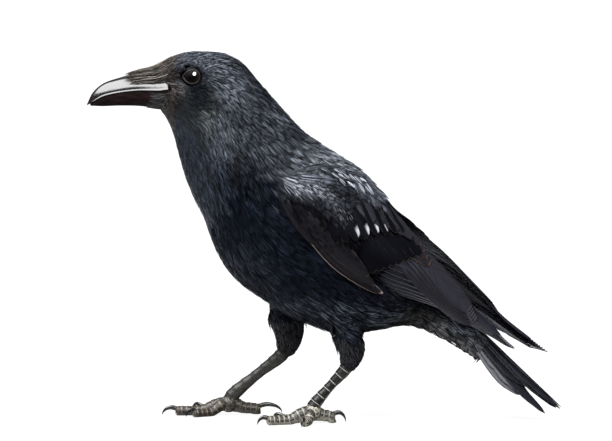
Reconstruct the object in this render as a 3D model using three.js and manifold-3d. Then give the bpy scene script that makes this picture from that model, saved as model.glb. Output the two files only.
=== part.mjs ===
// A standing carrion crow at life size, as a still model.
// Millimetres, +Z up.  The bill points to -X, the bird's left side faces -Y, and the feet stand on z = 0.
// The body is one lofted form parted by thin cuts; wings, tail, legs and bill are set against it.

import * as THREE from 'three';
import { mergeVertices } from 'three/addons/utils/BufferGeometryUtils.js';
import Module from 'manifold-3d';

const wasm = await Module();
wasm.setup();

// ---- driving sizes -----------------------------------------------------------------------------

const JOINT_GAP = 0.3;
const RAD = Math.PI / 180;
const BODY_SIDES = 24;
const LIMB_SIDES = 7;

// Cross-sections of the body from brow to vent.  Each has its upper and lower point [x, z], its half
// width, the height of its widest line as a share of its depth, and how full its lower half is.
const BODY = [
  { top: [-126.5, 273.5], bottom: [-126.5, 237.5], half: 11.5, waist: 0.5, full: 2.0 },
  { top: [-117.5, 279.5], bottom: [-122.5, 233.5], half: 15.5, waist: 0.56, full: 1.9 },
  { top: [-103.5, 283.5], bottom: [-117.0, 221.5], half: 18.0, waist: 0.6, full: 1.8 },
  { top: [-90.5, 283.5], bottom: [-114.0, 209.5], half: 19.0, waist: 0.6, full: 1.8 },
  { top: [-76.5, 282.0], bottom: [-111.5, 199.5], half: 20.0, waist: 0.58, full: 1.9 },
  { top: [-63.5, 275.0], bottom: [-108.0, 187.5], half: 22.0, waist: 0.56, full: 2.0 },
  { top: [-52.0, 261.5], bottom: [-102.0, 172.0], half: 27.0, waist: 0.56, full: 2.1 },
  { top: [-34.5, 242.0], bottom: [-93.0, 154.0], half: 35.0, waist: 0.58, full: 2.2 },
  { top: [-15.0, 221.0], bottom: [-83.0, 127.5], half: 42.0, waist: 0.6, full: 2.2 },
  { top: [8.5, 205.6], bottom: [-68.5, 107.0], half: 45.0, waist: 0.61, full: 2.3 },
  { top: [33.0, 188.8], bottom: [-45.5, 90.5], half: 45.0, waist: 0.6, full: 2.4 },
  { top: [47.0, 166.0], bottom: [-19.5, 76.0], half: 41.0, waist: 0.58, full: 2.5 },
  { top: [60.0, 140.5], bottom: [9.5, 64.5], half: 34.0, waist: 0.56, full: 2.5 },
  { top: [71.0, 123.0], bottom: [36.5, 65.8], half: 26.0, waist: 0.55, full: 2.4 },
  { top: [80.0, 107.0], bottom: [58.5, 72.0], half: 17.0, waist: 0.52, full: 2.2 },
];
const HEAD_END = 4.4;
const NECK_END = 7.0;
const TORSO_END = 14.0;

// The bill from tip to base: the ridge, the cutting edge and the keel of the lower half, with half width.
const BILL = [
  { x: -182.0, ridge: 242.6, edge: 241.9, keel: 241.4, half: 0.5 },
  { x: -178.0, ridge: 251.0, edge: 244.1, keel: 241.3, half: 2.2 },
  { x: -170.0, ridge: 258.3, edge: 248.7, keel: 241.0, half: 4.3 },
  { x: -158.0, ridge: 262.8, edge: 251.8, keel: 241.4, half: 6.3 },
  { x: -143.0, ridge: 266.8, edge: 253.7, keel: 240.5, half: 8.3 },
  { x: -126.8, ridge: 270.8, edge: 254.0, keel: 238.5, half: 10.2 },
];
const LOWER_BILL_TIP = -179.5;
const GAPE = { x: -119.5, z: 254.0, height: 0.6, depth: 4.0 };

// Stiff bristles lie forward from the brow over the root of the bill, in a longer layer under a shorter
// one.  Widths and spread are shares of the way round the upper bill.
const BRISTLE = { root: -121.5, half: 0.034, clear: 0.5, sunk: 1.4, perSide: 5, spread: [0.036, 0.36] };
const BRISTLE_LAYERS = [{ reach: 29.5, lift: 0, shift: 0 }, { reach: 19.0, lift: 1.2, shift: -0.5 }];

const EYE = { x: -102.4, y: 11.6, z: 266.4, radius: 8.2, opening: 6.3, lid: 1.0 };

// The folded wings lie on a roof over the body.  Its axis starts behind the wrist and slopes down.
const ROOF = { x: -27.0, z: 176.0, slope: 36 };
const ROOF_HALF = profile([[-20, 42], [0, 46], [28, 50.5], [53, 51.5], [76, 49], [100, 43.5], [124, 36],
  [147, 28.5], [170, 22], [190, 17.5], [209, 14], [236, 9]]);
const LEFT_WING = {
  side: -1,
  tip: 209,
  rise: profile([[-20, 43], [28, 44.5], [53, 42], [76, 37], [100, 32.5], [124, 28], [147, 23.5], [170, 18.5],
    [190, 14], [209, 10]]),
  hem: profile([[-10, 2], [13, -8], [37, -18], [60, -27], [81, -34], [98, -36], [123, -26], [145, -13],
    [173, -8], [194, 6], [209, 20]]),
  crest: profile([[-10, 22], [5, 44], [22, 62], [45, 76], [70, 84], [100, 84], [120, 76], [140, 60],
    [164, 44], [185, 34], [209, 26]]),
  lean: () => 0,
};
const RIGHT_WING = {
  side: 1,
  tip: 232,
  rise: profile([[-20, 43], [28, 44.5], [53, 42], [76, 37.5], [100, 34.2], [124, 31.5], [147, 27.8],
    [170, 24.4], [190, 20], [210, 17.4], [232, 16.6]]),
  hem: profile([[-10, 2], [13, -8], [37, -18], [60, -27], [81, -34], [98, -36], [123, -26], [145, -13],
    [173, -4], [194, 12], [215, 45], [232, 80]]),
  crest: profile([[-10, 22], [5, 44], [22, 62], [45, 76], [70, 84], [100, 88], [120, 96], [140, 100],
    [164, 104], [185, 106], [210, 104], [232, 92]]),
  lean: profile([[108, 0], [140, 0.12], [180, 0.3], [232, 0.3]]),
};

// The wing's pad is the flesh under the feathers.  Its outer face sinks away from the roof towards its end.
const PAD = {
  from: -10,
  to: 108,
  outer: profile([[-10, -1.0], [10, -1.4], [50, -3.2], [75, -5.2], [108, -9.5]]),
  inner: profile([[-10, -12], [60, -16], [108, -16]]),
};

// Rows of feathers of a folded wing, each from its lowest feather to the one nearest the back.  A place is
// [length along the roof, share of the way from hem to crest], for the first and the last feather.  The top
// is the lift of the row's outer face along the roof.  Each feather lies on the one before it: it is raised
// by the step for as long as that one is under it, and its tilt raises its lower edge and sinks the upper.
const WING_ROWS = {
  primaries: {
    count: 6, half: 7.0, pointed: 0.8, bow: 0, tilt: 0.5, step: 1.0, points: 3,
    roots: [[86, 0.06], [92, 0.2]], tips: [[209, 0.3], [167, 0.6]],
    top: profile([[86, -10], [120, -8], [150, -5.5], [172, -2.4], [209, -0.6]]),
  },
  secondaries: {
    count: 6, half: 8.4, pointed: 0.2, bow: 1.5, tilt: 1.2, step: 0.7, points: 3,
    roots: [[80, 0.12], [70, 0.62]], tips: [[173, 0.24], [130, 0.88]],
    top: profile([[66, -7], [90, -5.4], [112, -3.0], [130, -1.7]]),
  },
  tertials: {
    count: 3, half: 9.4, pointed: 0.2, bow: 2, tilt: 1.1, step: 0.8, points: 3,
    roots: [[56, 0.64], [52, 0.84]], tips: [[121, 0.76], [104, 0.95]],
    top: profile([[50, -5.2], [75, -3.4], [104, -1.5]]),
  },
  primaryCoverts: {
    count: 3, half: 4.8, pointed: 0.6, bow: 0, tilt: 0.5, step: 0.9, points: 2,
    roots: [[46, 0.1], [48, 0.24]], tips: [[100, 0.05], [88, 0.2]],
    top: profile([[44, -4.6], [66, -2.4], [100, -1.4]]),
  },
  greaterCoverts: {
    count: 7, half: 6.0, pointed: 0.15, bow: 1.5, tilt: 1.0, step: 0.1, points: 2,
    roots: [[54, 0.3], [66, 0.82]], tips: [[88, 0.2], [110, 0.76]],
    top: profile([[52, -5.2], [75, -2.6], [108, -0.9]]),
  },
  alula: {
    count: 2, half: 4.0, pointed: 0.6, bow: 0, tilt: 0.5, step: 0.9, points: 2,
    roots: [[18, 0.2], [20, 0.32]], tips: [[62, 0.07], [52, 0.2]],
    top: profile([[18, -3.0], [34, -1.2], [62, -0.9]]),
  },
  medianCoverts: {
    count: 7, half: 6.0, pointed: 0.15, bow: 1, tilt: 0.9, step: 0.1, points: 2,
    roots: [[28, 0.36], [62, 0.92]], tips: [[52, 0.24], [84, 0.82]],
    top: profile([[26, -3.6], [44, -1.5], [84, -0.7]]),
  },
  scapulars: {
    count: 3, half: 7.0, pointed: 0.3, bow: 1, tilt: 0.6, step: 0.9, points: 2,
    roots: [[6, 0.88], [38, 0.95]], tips: [[48, 0.84], [84, 0.93]],
    top: profile([[6, -2.6], [34, -0.9], [84, -0.6]]),
  },
};
// Vanes: thickness, its share left at the tip, and where the rings of wide and of narrow vanes lie.
const VANE = { thick: 0.7, tipShare: 0.72, wideSteps: [0, 0.4, 0.8, 0.94, 1], steps: [0, 0.45, 0.84, 1] };

// The closed tail is a shallow tent under a straight ridge that runs from the rump to the tip.
const TAIL = { x: 80.0, z: 107.0, slope: 43.8, length: 142, pitch: 0.82, round: 6, root: 46 };

// Tail feathers of one side from the middle outwards: the tips step back, and each vane lies a step under
// the one before it.
const RECTRICES = {
  half: 7.6,
  first: 3.0,
  next: 7.4,
  spread: 1.6,
  step: 1.0,
  shorter: [0, 5, 10, 15, 21, 31],
};

// The root of the tail carries on from the end of the torso.
const TAIL_BASE = [
  BODY[14],
  { top: [92.0, 95.0], bottom: [75.5, 68.5], half: 15.5, waist: 0.5, full: 2.1 },
  { top: [106.0, 80.0], bottom: [94.0, 59.0], half: 15.5, waist: 0.5, full: 2.1 },
  { top: [117.0, 69.0], bottom: [108.0, 51.0], half: 14.0, waist: 0.5, full: 2.0 },
  { top: [127.0, 58.0], bottom: [118.0, 45.0], half: 8.0, waist: 0.5, full: 2.0 },
];

// Each leg: sections of the feathered thigh, then the bare shank down to the ball of the foot.
const LEFT_LEG = {
  side: 'left',
  thigh: [
    { at: [16.0, -20.0, 84.0], deep: 15.0, wide: 13.0 },
    { at: [17.5, -22.0, 66.0], deep: 12.5, wide: 11.0 },
    { at: [20.5, -23.0, 55.5], deep: 10.6, wide: 9.5 },
    { at: [18.0, -23.5, 46.5], deep: 8.0, wide: 7.5 },
    { at: [16.5, -24.0, 41.0], deep: 5.6, wide: 5.4 },
  ],
  shank: [
    { at: [16.5, -24.0, 42.5], deep: 4.6, wide: 3.8 },
    { at: [5.0, -24.2, 28.8], deep: 3.3, wide: 2.9 },
    { at: [-7.5, -24.5, 14.5], deep: 4.6, wide: 4.0 },
    { at: [-10.0, -24.5, 10.0], deep: 4.0, wide: 4.0 },
  ],
  ball: [-10.0, -24.5, 8.4],
};
const RIGHT_LEG = {
  side: 'right',
  thigh: [
    { at: [-28.0, 19.0, 94.0], deep: 20.0, wide: 14.0 },
    { at: [-29.5, 22.0, 76.0], deep: 14.5, wide: 12.0 },
    { at: [-27.5, 24.0, 62.5], deep: 11.8, wide: 10.0 },
    { at: [-30.0, 24.5, 51.5], deep: 8.6, wide: 7.8 },
    { at: [-32.5, 24.5, 46.8], deep: 6.0, wide: 5.6 },
  ],
  shank: [
    { at: [-33.5, 24.5, 46.0], deep: 4.6, wide: 3.8 },
    { at: [-50.5, 24.7, 32.0], deep: 3.3, wide: 2.9 },
    { at: [-69.0, 25.0, 16.2], deep: 4.6, wide: 4.0 },
    { at: [-73.5, 25.0, 10.5], deep: 4.0, wide: 4.0 },
  ],
  ball: [-74.0, 25.0, 8.6],
};
const BALL_RADIUS = 6.0;
// Scutes: how far the lower edge of each stands proud, its share of their spacing, and how many there are.
const SCUTE = { proud: 0.55, share: 0.82, shank: 8, toe: 4 };
// Middle toe first: each toe that follows is cut clear of those before it.
const TOE_ORDER = [2, 1, 3, 0];

// Toes of each foot: heading away from the bill's direction in degrees (towards -Y), length and claw.
// The arch is how far the middle of a toe is held up, and its claw with it.
const LEFT_TOES = [
  { heading: 192, length: 17.5, radius: 3.8, arch: 1.8, claw: 8.5 },
  { heading: -14, length: 25.0, radius: 3.0, arch: 0, claw: 6.5 },
  { heading: 16, length: 36.0, radius: 3.4, arch: 0, claw: 7.5 },
  { heading: 72, length: 21.0, radius: 3.0, arch: 0, claw: 5.5 },
];
const RIGHT_TOES = [
  { heading: 192, length: 24.5, radius: 3.7, arch: 1.2, claw: 17.0 },
  { heading: 28, length: 31.0, radius: 3.0, arch: 0, claw: 6.0 },
  { heading: 4, length: 41.0, radius: 3.4, arch: 0, claw: 10.0 },
  { heading: -34, length: 27.0, radius: 3.0, arch: 0, claw: 7.0 },
];

// ---- materials ---------------------------------------------------------------------------------

const plumage = new THREE.MeshStandardMaterial({ name: 'black_plumage', color: 0x1d1f26, roughness: 0.62 });
const flightPlumage = new THREE.MeshStandardMaterial({ name: 'flight', color: 0x17171f, roughness: 0.5 });
const horn = new THREE.MeshStandardMaterial({ name: 'black_horn', color: 0x1b1a1c, roughness: 0.25 });
const scale = new THREE.MeshStandardMaterial({ name: 'leg_scale', color: 0x3c3b39, roughness: 0.5 });
const eyeball = new THREE.MeshStandardMaterial({ name: 'dark_eye', color: 0x0b0806, roughness: 0.06 });

// ---- curves and solids ---------------------------------------------------------------------------

/** A smooth function through a few [position, value] pairs, held level beyond its ends. */
function profile(pairs) {
  const count = pairs.length;
  const slope = (i) => {
    const before = pairs[Math.max(i - 1, 0)];
    const after = pairs[Math.min(i + 1, count - 1)];
    return (after[1] - before[1]) / (after[0] - before[0]);
  };
  return (position) => {
    const x = THREE.MathUtils.clamp(position, pairs[0][0], pairs[count - 1][0]);
    let i = 0;
    while (i < count - 2 && pairs[i + 1][0] < x) i += 1;
    const [x0, y0] = pairs[i];
    const [x1, y1] = pairs[i + 1];
    const span = x1 - x0;
    const t = (x - x0) / span;
    const rest = 1 - t;
    const start = y0 * (1 + 2 * t) + slope(i) * span * t;
    const end = y1 * (3 - 2 * t) - slope(i + 1) * span * rest;
    return start * rest * rest + end * t * t;
  };
}

/** The value of one field of a row of stations at a position between them. */
function between(stations, position, read) {
  return profile(stations.map((station, i) => [i, read(station)]))(position);
}

/** Triangles that close a ring from its first point. */
function fan(sides) {
  return Array.from({ length: sides - 2 }, (_, j) => [0, j + 1, j + 2]);
}

/** Triangles that close a flat ring, whose second half runs back under its first, rung by rung. */
function ladder(sides) {
  const rungs = Array.from({ length: sides / 2 - 1 }, (_, j) => [j, j + 1, sides - 2 - j, sides - 1 - j]);
  return rungs.flatMap(([a, b, c, d]) => [[a, b, c], [a, c, d]]);
}

/** A closed geometry through rings of equal length; a twinned one splits its two faces alike. */
function loft(rings, twinned = false) {
  const sides = rings[0].length;
  const points = rings.flat();
  const faces = [];
  for (let i = 0; i + 1 < rings.length; i += 1) {
    for (let j = 0; j < sides; j += 1) {
      const a = i * sides + j;
      const b = i * sides + (j + 1) % sides;
      const c = a + sides;
      const d = b + sides;
      if (twinned && j >= sides / 2) faces.push(a, b, c, b, d, c);
      else faces.push(a, b, d, a, d, c);
    }
  }
  for (const end of [0, rings.length - 1]) {
    for (const [i, j, k] of twinned ? ladder(sides) : fan(sides)) {
      const start = end * sides;
      if (end === 0) faces.push(start + i, start + k, start + j);
      else faces.push(start + i, start + j, start + k);
    }
  }
  const geometry = new THREE.BufferGeometry();
  const numbers = points.flatMap((point) => point.toArray());
  geometry.setAttribute('position', new THREE.Float32BufferAttribute(numbers, 3));
  geometry.setIndex(faces);
  return geometry;
}

/** The signed volume inside a closed geometry. */
function signedVolume(geometry) {
  const position = geometry.attributes.position;
  const index = geometry.index;
  const corner = [new THREE.Vector3(), new THREE.Vector3(), new THREE.Vector3()];
  let total = 0;
  for (let i = 0; i < index.count; i += 3) {
    corner.forEach((point, k) => point.fromBufferAttribute(position, index.getX(i + k)));
    total += corner[0].dot(corner[1].clone().cross(corner[2]));
  }
  return total / 6;
}

/** A solid from a closed geometry, with its faces turned outwards. */
function solid(source) {
  const bare = source.clone();
  bare.deleteAttribute('normal');
  bare.deleteAttribute('uv');
  const geometry = mergeVertices(bare, 1e-4);
  const triVerts = new Uint32Array(geometry.index.array);
  if (signedVolume(geometry) < 0) {
    for (let i = 0; i < triVerts.length; i += 3) {
      const second = triVerts[i + 1];
      triVerts[i + 1] = triVerts[i + 2];
      triVerts[i + 2] = second;
    }
  }
  const vertProperties = new Float32Array(geometry.attributes.position.array);
  return new wasm.Manifold(new wasm.Mesh({ numProp: 3, vertProperties, triVerts }));
}

/** The largest closed surface of a solid. */
function largest(body) {
  const pieces = body.decompose();
  return pieces.reduce((best, piece) => (piece.volume() > best.volume() ? piece : best));
}

/** A repeatable run of draws between 0 and 1. */
function seeded(seed) {
  let state = seed;
  return () => {
    state = (state * 16807) % 2147483647;
    return state / 2147483647;
  };
}

/** A named mesh from a solid. */
function node(name, body, material) {
  const kept = largest(body).getMesh();
  const geometry = new THREE.BufferGeometry();
  geometry.setAttribute('position', new THREE.Float32BufferAttribute(kept.vertProperties, 3));
  geometry.setIndex([...kept.triVerts]);
  geometry.computeVertexNormals();
  const mesh = new THREE.Mesh(geometry, material);
  mesh.name = name;
  return mesh;
}

// ---- body --------------------------------------------------------------------------------------

/** One ring of the body: an egg-shaped section in the plane of its upper and lower points. */
function bodyRing(stations, position, grow = 0) {
  const read = (pick) => between(stations, position, pick);
  const top = new THREE.Vector3(read((s) => s.top[0]), 0, read((s) => s.top[1]));
  const bottom = new THREE.Vector3(read((s) => s.bottom[0]), 0, read((s) => s.bottom[1]));
  const up = top.clone().sub(bottom);
  const depth = up.length();
  up.divideScalar(depth);
  const waist = read((s) => s.waist);
  const half = read((s) => s.half) + grow;
  const full = read((s) => s.full);
  const middle = bottom.clone().addScaledVector(up, waist * depth);
  const ring = [];
  for (let j = 0; j < BODY_SIDES; j += 1) {
    const angle = (j / BODY_SIDES) * 2 * Math.PI;
    const c = Math.cos(angle);
    const s = Math.sin(angle);
    const power = c > 0 ? 1 : 2 / full;
    const reach = c > 0 ? (1 - waist) * depth + grow : waist * depth + grow;
    const rise = Math.sign(c) * reach * Math.abs(c) ** power;
    const out = Math.sign(s) * half * Math.abs(s) ** power;
    ring.push(middle.clone().addScaledVector(up, rise).add(new THREE.Vector3(0, out, 0)));
  }
  return ring;
}

/** A length of the body between two positions along its stations. */
function bodyLength(stations, from, to, count, grow = 0) {
  const rings = [];
  for (let i = 0; i <= count; i += 1) {
    rings.push(bodyRing(stations, from + ((to - from) * i) / count, grow));
  }
  return rings;
}

/** Moves the first ring of a length along its own axis, so that it clears the face before it. */
function clearFirst(rings) {
  const [a, b, c] = [rings[0][0], rings[0][BODY_SIDES / 4], rings[0][BODY_SIDES / 2]];
  const normal = b.clone().sub(a).cross(c.clone().sub(a)).normalize();
  const ahead = rings[1][0].clone().add(rings[1][BODY_SIDES / 2]).sub(a).sub(c);
  if (normal.dot(ahead) < 0) normal.negate();
  rings[0].forEach((point) => point.addScaledVector(normal, JOINT_GAP));
  return rings;
}

// ---- bill and eyes -------------------------------------------------------------------------------

/** A point on the bill: across runs from 0 at one cutting edge over the ridge or keel to 1 at the other. */
function billPoint(x, across, lower, grow = 0) {
  const read = (pick) => profile(BILL.map((s) => [s.x, pick(s)]))(x);
  const angle = across * Math.PI;
  const edge = read((s) => s.edge) - (lower ? JOINT_GAP : 0);
  const height = (lower ? edge - read((s) => s.keel) : read((s) => s.ridge) - edge) + grow;
  const half = read((s) => s.half) + grow;
  const y = half * Math.cos(angle);
  const z = edge + (lower ? -1 : 1) * height * Math.sin(angle);
  return new THREE.Vector3(x, y, z);
}

/** The upper or lower half of the bill. */
function billHalf(lower) {
  const sides = 10;
  const count = 12;
  const first = lower ? LOWER_BILL_TIP : BILL[0].x;
  const last = BILL[BILL.length - 1].x;
  const rings = [];
  for (let i = 0; i <= count; i += 1) {
    const x = first + (last - first) * (i / count) ** 1.3;
    const ring = [];
    for (let j = 0; j <= sides; j += 1) ring.push(billPoint(x, j / sides, lower));
    rings.push(ring);
  }
  return solid(loft(rings));
}

/** One bristle lock over the root of the bill. */
function bristle(side, index, layer, random) {
  const spread = mix(BRISTLE.spread[0], BRISTLE.spread[1], (index + layer.shift) / (BRISTLE.perSide - 1));
  const middle = 0.5 - side * spread;
  const reach = layer.reach * mix(0.9, 1.06, random());
  const place = (along, across, drop) => {
    const taper = mix(1, 0.12, along ** 2);
    const lift = BRISTLE.clear + VANE.thick + layer.lift + BRISTLE.sunk * (1 - along) ** 3 + drop;
    return billPoint(BRISTLE.root - reach * along, middle + across * BRISTLE.half * taper, false, lift);
  };
  return vane(2, place);
}

/** An eyeball, or the ball grown by the gap that its socket keeps. */
function eye(side, grow = 0) {
  const ball = new THREE.SphereGeometry(EYE.radius + grow, 12, 8);
  ball.translate(EYE.x, side * EYE.y, EYE.z);
  return solid(ball);
}

/** The rim of lids round an eye, turned about the eye's axis and sunk into the head. */
function lids(side) {
  const depth = Math.sqrt(EYE.radius ** 2 - EYE.opening ** 2);
  const outer = EYE.opening + EYE.lid;
  const section = [[0, -6], [outer + 0.8, -6], [outer + 0.5, -0.5], [outer - 0.2, 0.5], [0, 0.5]];
  const rim = new THREE.LatheGeometry(section.map(([r, y]) => new THREE.Vector2(r, y)), 16);
  if (side < 0) rim.rotateX(Math.PI);
  rim.translate(EYE.x, side * (EYE.y + depth), EYE.z);
  return solid(rim);
}

/** The head: its length of the body with lids and sockets, and the corner of the mouth cut in. */
function head() {
  let form = solid(loft(bodyLength(BODY, 0, HEAD_END, 10)));
  for (const side of [-1, 1]) {
    form = form.add(lids(side)).subtract(eye(side, JOINT_GAP));
    const corner = new THREE.BoxGeometry(16, GAPE.depth, GAPE.height);
    corner.translate(GAPE.x - 8, side * 14.5, GAPE.z);
    form = form.subtract(solid(corner));
  }
  const random = seeded(7);
  for (const layer of BRISTLE_LAYERS) {
    for (const side of [-1, 1]) {
      for (let i = 0; i < BRISTLE.perSide; i += 1) form = form.add(bristle(side, i, layer, random));
    }
  }
  return form;
}

// ---- wings -------------------------------------------------------------------------------------

/** A point on a wing's roof, at a length along it, an angle round it and a lift off it. */
function roofPoint(wing, along, angle, lift) {
  const rise = wing.rise(along) + lift;
  const half = ROOF_HALF(along) + lift;
  const slope = ROOF.slope * RAD;
  const height = rise * Math.sin(angle * RAD);
  const x = ROOF.x + along * Math.cos(slope) + height * Math.sin(slope);
  const y = wing.side * half * Math.cos(angle * RAD);
  const z = ROOF.z - along * Math.sin(slope) + height * Math.cos(slope);
  return new THREE.Vector3(x, y, z);
}

/** A slab of a wing between two lengths, with its outer and inner lift given along it. */
function wingSlab(wing, from, to, outer, inner, count) {
  const across = 6;
  const rings = [];
  for (let i = 0; i <= count; i += 1) {
    const along = from + ((to - from) * i) / count;
    const hem = wing.hem(along);
    const crest = wing.crest(along);
    const row = (lift) => Array.from({ length: across + 1 }, (_, j) => {
      const angle = hem + ((crest - hem) * j) / across;
      return roofPoint(wing, along, angle, lift);
    });
    rings.push([...row(outer(along)), ...row(inner(along)).reverse()]);
  }
  return solid(loft(rings, true));
}

/** A value on the way from the first to the last. */
function mix(first, last, share) {
  return first + (last - first) * share;
}

/** Half the width of a vane along it: narrow at its root, and rounded or pointed at its tip. */
function vaneHalf(row, share) {
  const shoulder = mix(0.84, 0.66, row.pointed);
  const neck = mix(0.84, 0.45, row.pointed);
  const tip = mix(0.4, 0.08, row.pointed);
  return row.half * profile([[0, 0.5], [0.4, 0.96], [shoulder, 1], [0.94, neck], [1, tip]])(share);
}

/** A thin vane as a solid, from a function place(share along, side from -1 to 1, drop). */
function vane(points, place) {
  const sides = Array.from({ length: points }, (_, j) => (2 * j) / (points - 1) - 1);
  const steps = points > 2 ? VANE.wideSteps : VANE.steps;
  const rings = steps.map((share) => {
    const thick = VANE.thick * mix(1, VANE.tipShare, share);
    const upper = sides.map((side) => place(share, side, 0));
    const lower = sides.map((side) => place(share, side, -thick)).reverse();
    return [...upper, ...lower];
  });
  return solid(loft(rings, true));
}

/** One feather of a wing row. */
function wingFeather(wing, row, index) {
  const share = index / (row.count - 1);
  const pick = (ends, axis) => mix(ends[0][axis], ends[1][axis], share);
  const tip = pick(row.tips, 0);
  const reach = tip + wingSlide(wing, tip);
  const spacing = Math.max(1, Math.abs(row.tips[1][0] - row.tips[0][0]) / (row.count - 1));
  const place = (along, side, drop) => {
    const s = mix(pick(row.roots, 0), reach, along);
    const level = mix(pick(row.roots, 1), pick(row.tips, 1), along);
    const angle = mix(wing.hem(s), wing.crest(s), Math.min(1, level + wing.lean(s)));
    const radius = Math.hypot(wing.rise(s) * Math.cos(angle * RAD), ROOF_HALF(s) * Math.sin(angle * RAD));
    const offset = side * vaneHalf(row, along) - row.bow * Math.sin(Math.PI * along);
    const covered = Math.min(row.count - 1 - index, Math.max(0, reach - s) / spacing);
    const raised = row.top(s) - row.step * covered - side * row.tilt + drop;
    return roofPoint(wing, s, angle + offset / radius / RAD, raised);
  };
  return vane(row.points, place);
}

/** How much further back the feathers behind the pad lie on the longer wing. */
function wingSlide(wing, along) {
  const longer = wing.tip - LEFT_WING.tip;
  return longer * THREE.MathUtils.clamp((along - PAD.to) / (LEFT_WING.tip - PAD.to), 0, 1);
}

/** A whole folded wing: the pad with every row rooted in it. */
function wingForm(wing) {
  let form = wingSlab(wing, PAD.from, PAD.to, PAD.outer, PAD.inner, 8);
  for (const row of Object.values(WING_ROWS)) {
    for (let i = 0; i < row.count; i += 1) form = form.add(wingFeather(wing, row, i));
  }
  return form;
}

// ---- tail --------------------------------------------------------------------------------------

/** A point of the tail, at a length along its ridge, a place across it and a lift off its tent. */
function tailPoint(along, across, lift) {
  const slope = TAIL.slope * RAD;
  const sag = TAIL.pitch * (Math.hypot(across, TAIL.round) - TAIL.round);
  const fall = (TAIL.pitch * across) / Math.hypot(across, TAIL.round);
  const up = new THREE.Vector3(Math.sin(slope), 0, Math.cos(slope));
  const normal = up.clone().add(new THREE.Vector3(0, fall, 0)).normalize();
  const ridge = new THREE.Vector3(TAIL.x + along * Math.cos(slope), across, TAIL.z - along * Math.sin(slope));
  return ridge.addScaledVector(up, -sag).addScaledVector(normal, lift);
}

/** One tail feather, counted from the middle pair outwards. */
function rectrix(side, index) {
  const row = { half: RECTRICES.half, pointed: 1 };
  const length = TAIL.length - RECTRICES.shorter[index];
  const outwards = index > 0 ? RECTRICES.next + RECTRICES.spread * (index - 1) : RECTRICES.first;
  const centre = side * outwards;
  const layer = index > 0 || side < 0 ? index + 1 : 0;
  const lift = -RECTRICES.step * layer;
  const place = (along, across, drop) => {
    const open = mix(0.45, 1, Math.min(1, along * 1.6));
    const aside = centre * open + across * vaneHalf(row, along);
    return tailPoint(mix(TAIL.root, length, along), aside, lift + drop);
  };
  return vane(3, place);
}

/** The whole tail: its root with every tail feather in it. */
function tailForm() {
  let form = solid(loft(clearFirst(bodyLength(TAIL_BASE, 0, TAIL_BASE.length - 1, 5))));
  for (let i = 0; i < RECTRICES.shorter.length; i += 1) {
    for (const side of [1, -1]) form = form.add(rectrix(side, i));
  }
  return form;
}

// ---- legs --------------------------------------------------------------------------------------

/** Even steps from 0 to 1. */
function evenSteps(count) {
  return Array.from({ length: count + 1 }, (_, i) => i / count);
}

/** Steps in pairs, one pair a scute: its flush upper edge and its proud lower edge. */
function scuteSteps(count) {
  const pairs = evenSteps(count - 1).map((_, i) => [i / count, (i + SCUTE.share) / count]);
  return [...pairs.flat(), 1];
}

/** Rings round a bent path of stations, each with its place, its depth in the upright plane and width. */
function limbRings(stations, steps, sides, aside, grow = 0, relief = () => 0) {
  const last = stations.length - 1;
  const place = (u) => new THREE.Vector3(...[0, 1, 2].map((axis) => between(stations, u, (s) => s.at[axis])));
  const rings = [];
  for (const [i, share] of steps.entries()) {
    const u = last * share;
    const step = 0.02;
    const run = place(Math.min(u + step, last)).sub(place(Math.max(u - step, 0))).normalize();
    const across = aside.clone().addScaledVector(run, -aside.dot(run)).normalize();
    const up = run.clone().cross(across);
    const deep = between(stations, u, (s) => s.deep) + grow;
    const wide = between(stations, u, (s) => s.wide) + grow;
    const centre = place(u);
    const ring = [];
    for (let j = 0; j < sides; j += 1) {
      const angle = (j / sides) * 2 * Math.PI;
      const proud = relief(i, angle);
      const rise = (deep + proud) * Math.cos(angle);
      const out = (wide + proud) * Math.sin(angle);
      ring.push(centre.clone().addScaledVector(up, rise).addScaledVector(across, out));
    }
    rings.push(ring);
  }
  return rings;
}

/** A limb as a solid. */
function limb(stations, count, sides, aside, grow = 0) {
  return solid(loft(limbRings(stations, evenSteps(count), sides, aside, grow)));
}

/** A limb with a row of scutes along the side that faces the given way round it. */
function scutedLimb(stations, scutes, sides, aside, facing) {
  const relief = (i, angle) => {
    const lowerEdge = i % 2 === 1;
    const front = Math.cos(angle - facing) > 0.15;
    return lowerEdge && front ? SCUTE.proud : 0;
  };
  return solid(loft(limbRings(stations, scuteSteps(scutes), sides, aside, 0, relief)));
}

/** The ball of a foot, at rest on the floor. */
function ball(centre, grow = 0) {
  const form = new THREE.SphereGeometry(BALL_RADIUS + grow, 10, 8);
  form.translate(...centre);
  return solid(form);
}

/** The direction of a toe on the floor. */
function heading(toe) {
  return new THREE.Vector3(-Math.cos(toe.heading * RAD), -Math.sin(toe.heading * RAD), 0);
}

/** The level direction across a toe. */
function acrossToe(toe) {
  return new THREE.Vector3(0, 0, 1).cross(heading(toe));
}

/** Stations of a toe from the ball of the foot out to its last pad. */
function toeStations(centre, toe) {
  const way = heading(toe);
  const at = (share, height) => {
    const spot = new THREE.Vector3(centre[0], centre[1], 0).addScaledVector(way, share * toe.length);
    return [spot.x, spot.y, height];
  };
  const r = toe.radius;
  return [
    { at: at(0.0, 8.4), deep: r, wide: r },
    { at: at(0.24, 7.0), deep: r, wide: r },
    { at: at(0.48, r + toe.arch), deep: r, wide: r },
    { at: at(0.72, r * 0.8 + toe.arch), deep: r * 0.95, wide: r * 0.93 },
    { at: at(0.94, r * 0.8), deep: r * 0.94, wide: r * 0.88 },
    { at: at(1.0, r * 0.85), deep: r * 0.55, wide: r * 0.5 },
  ];
}

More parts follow.
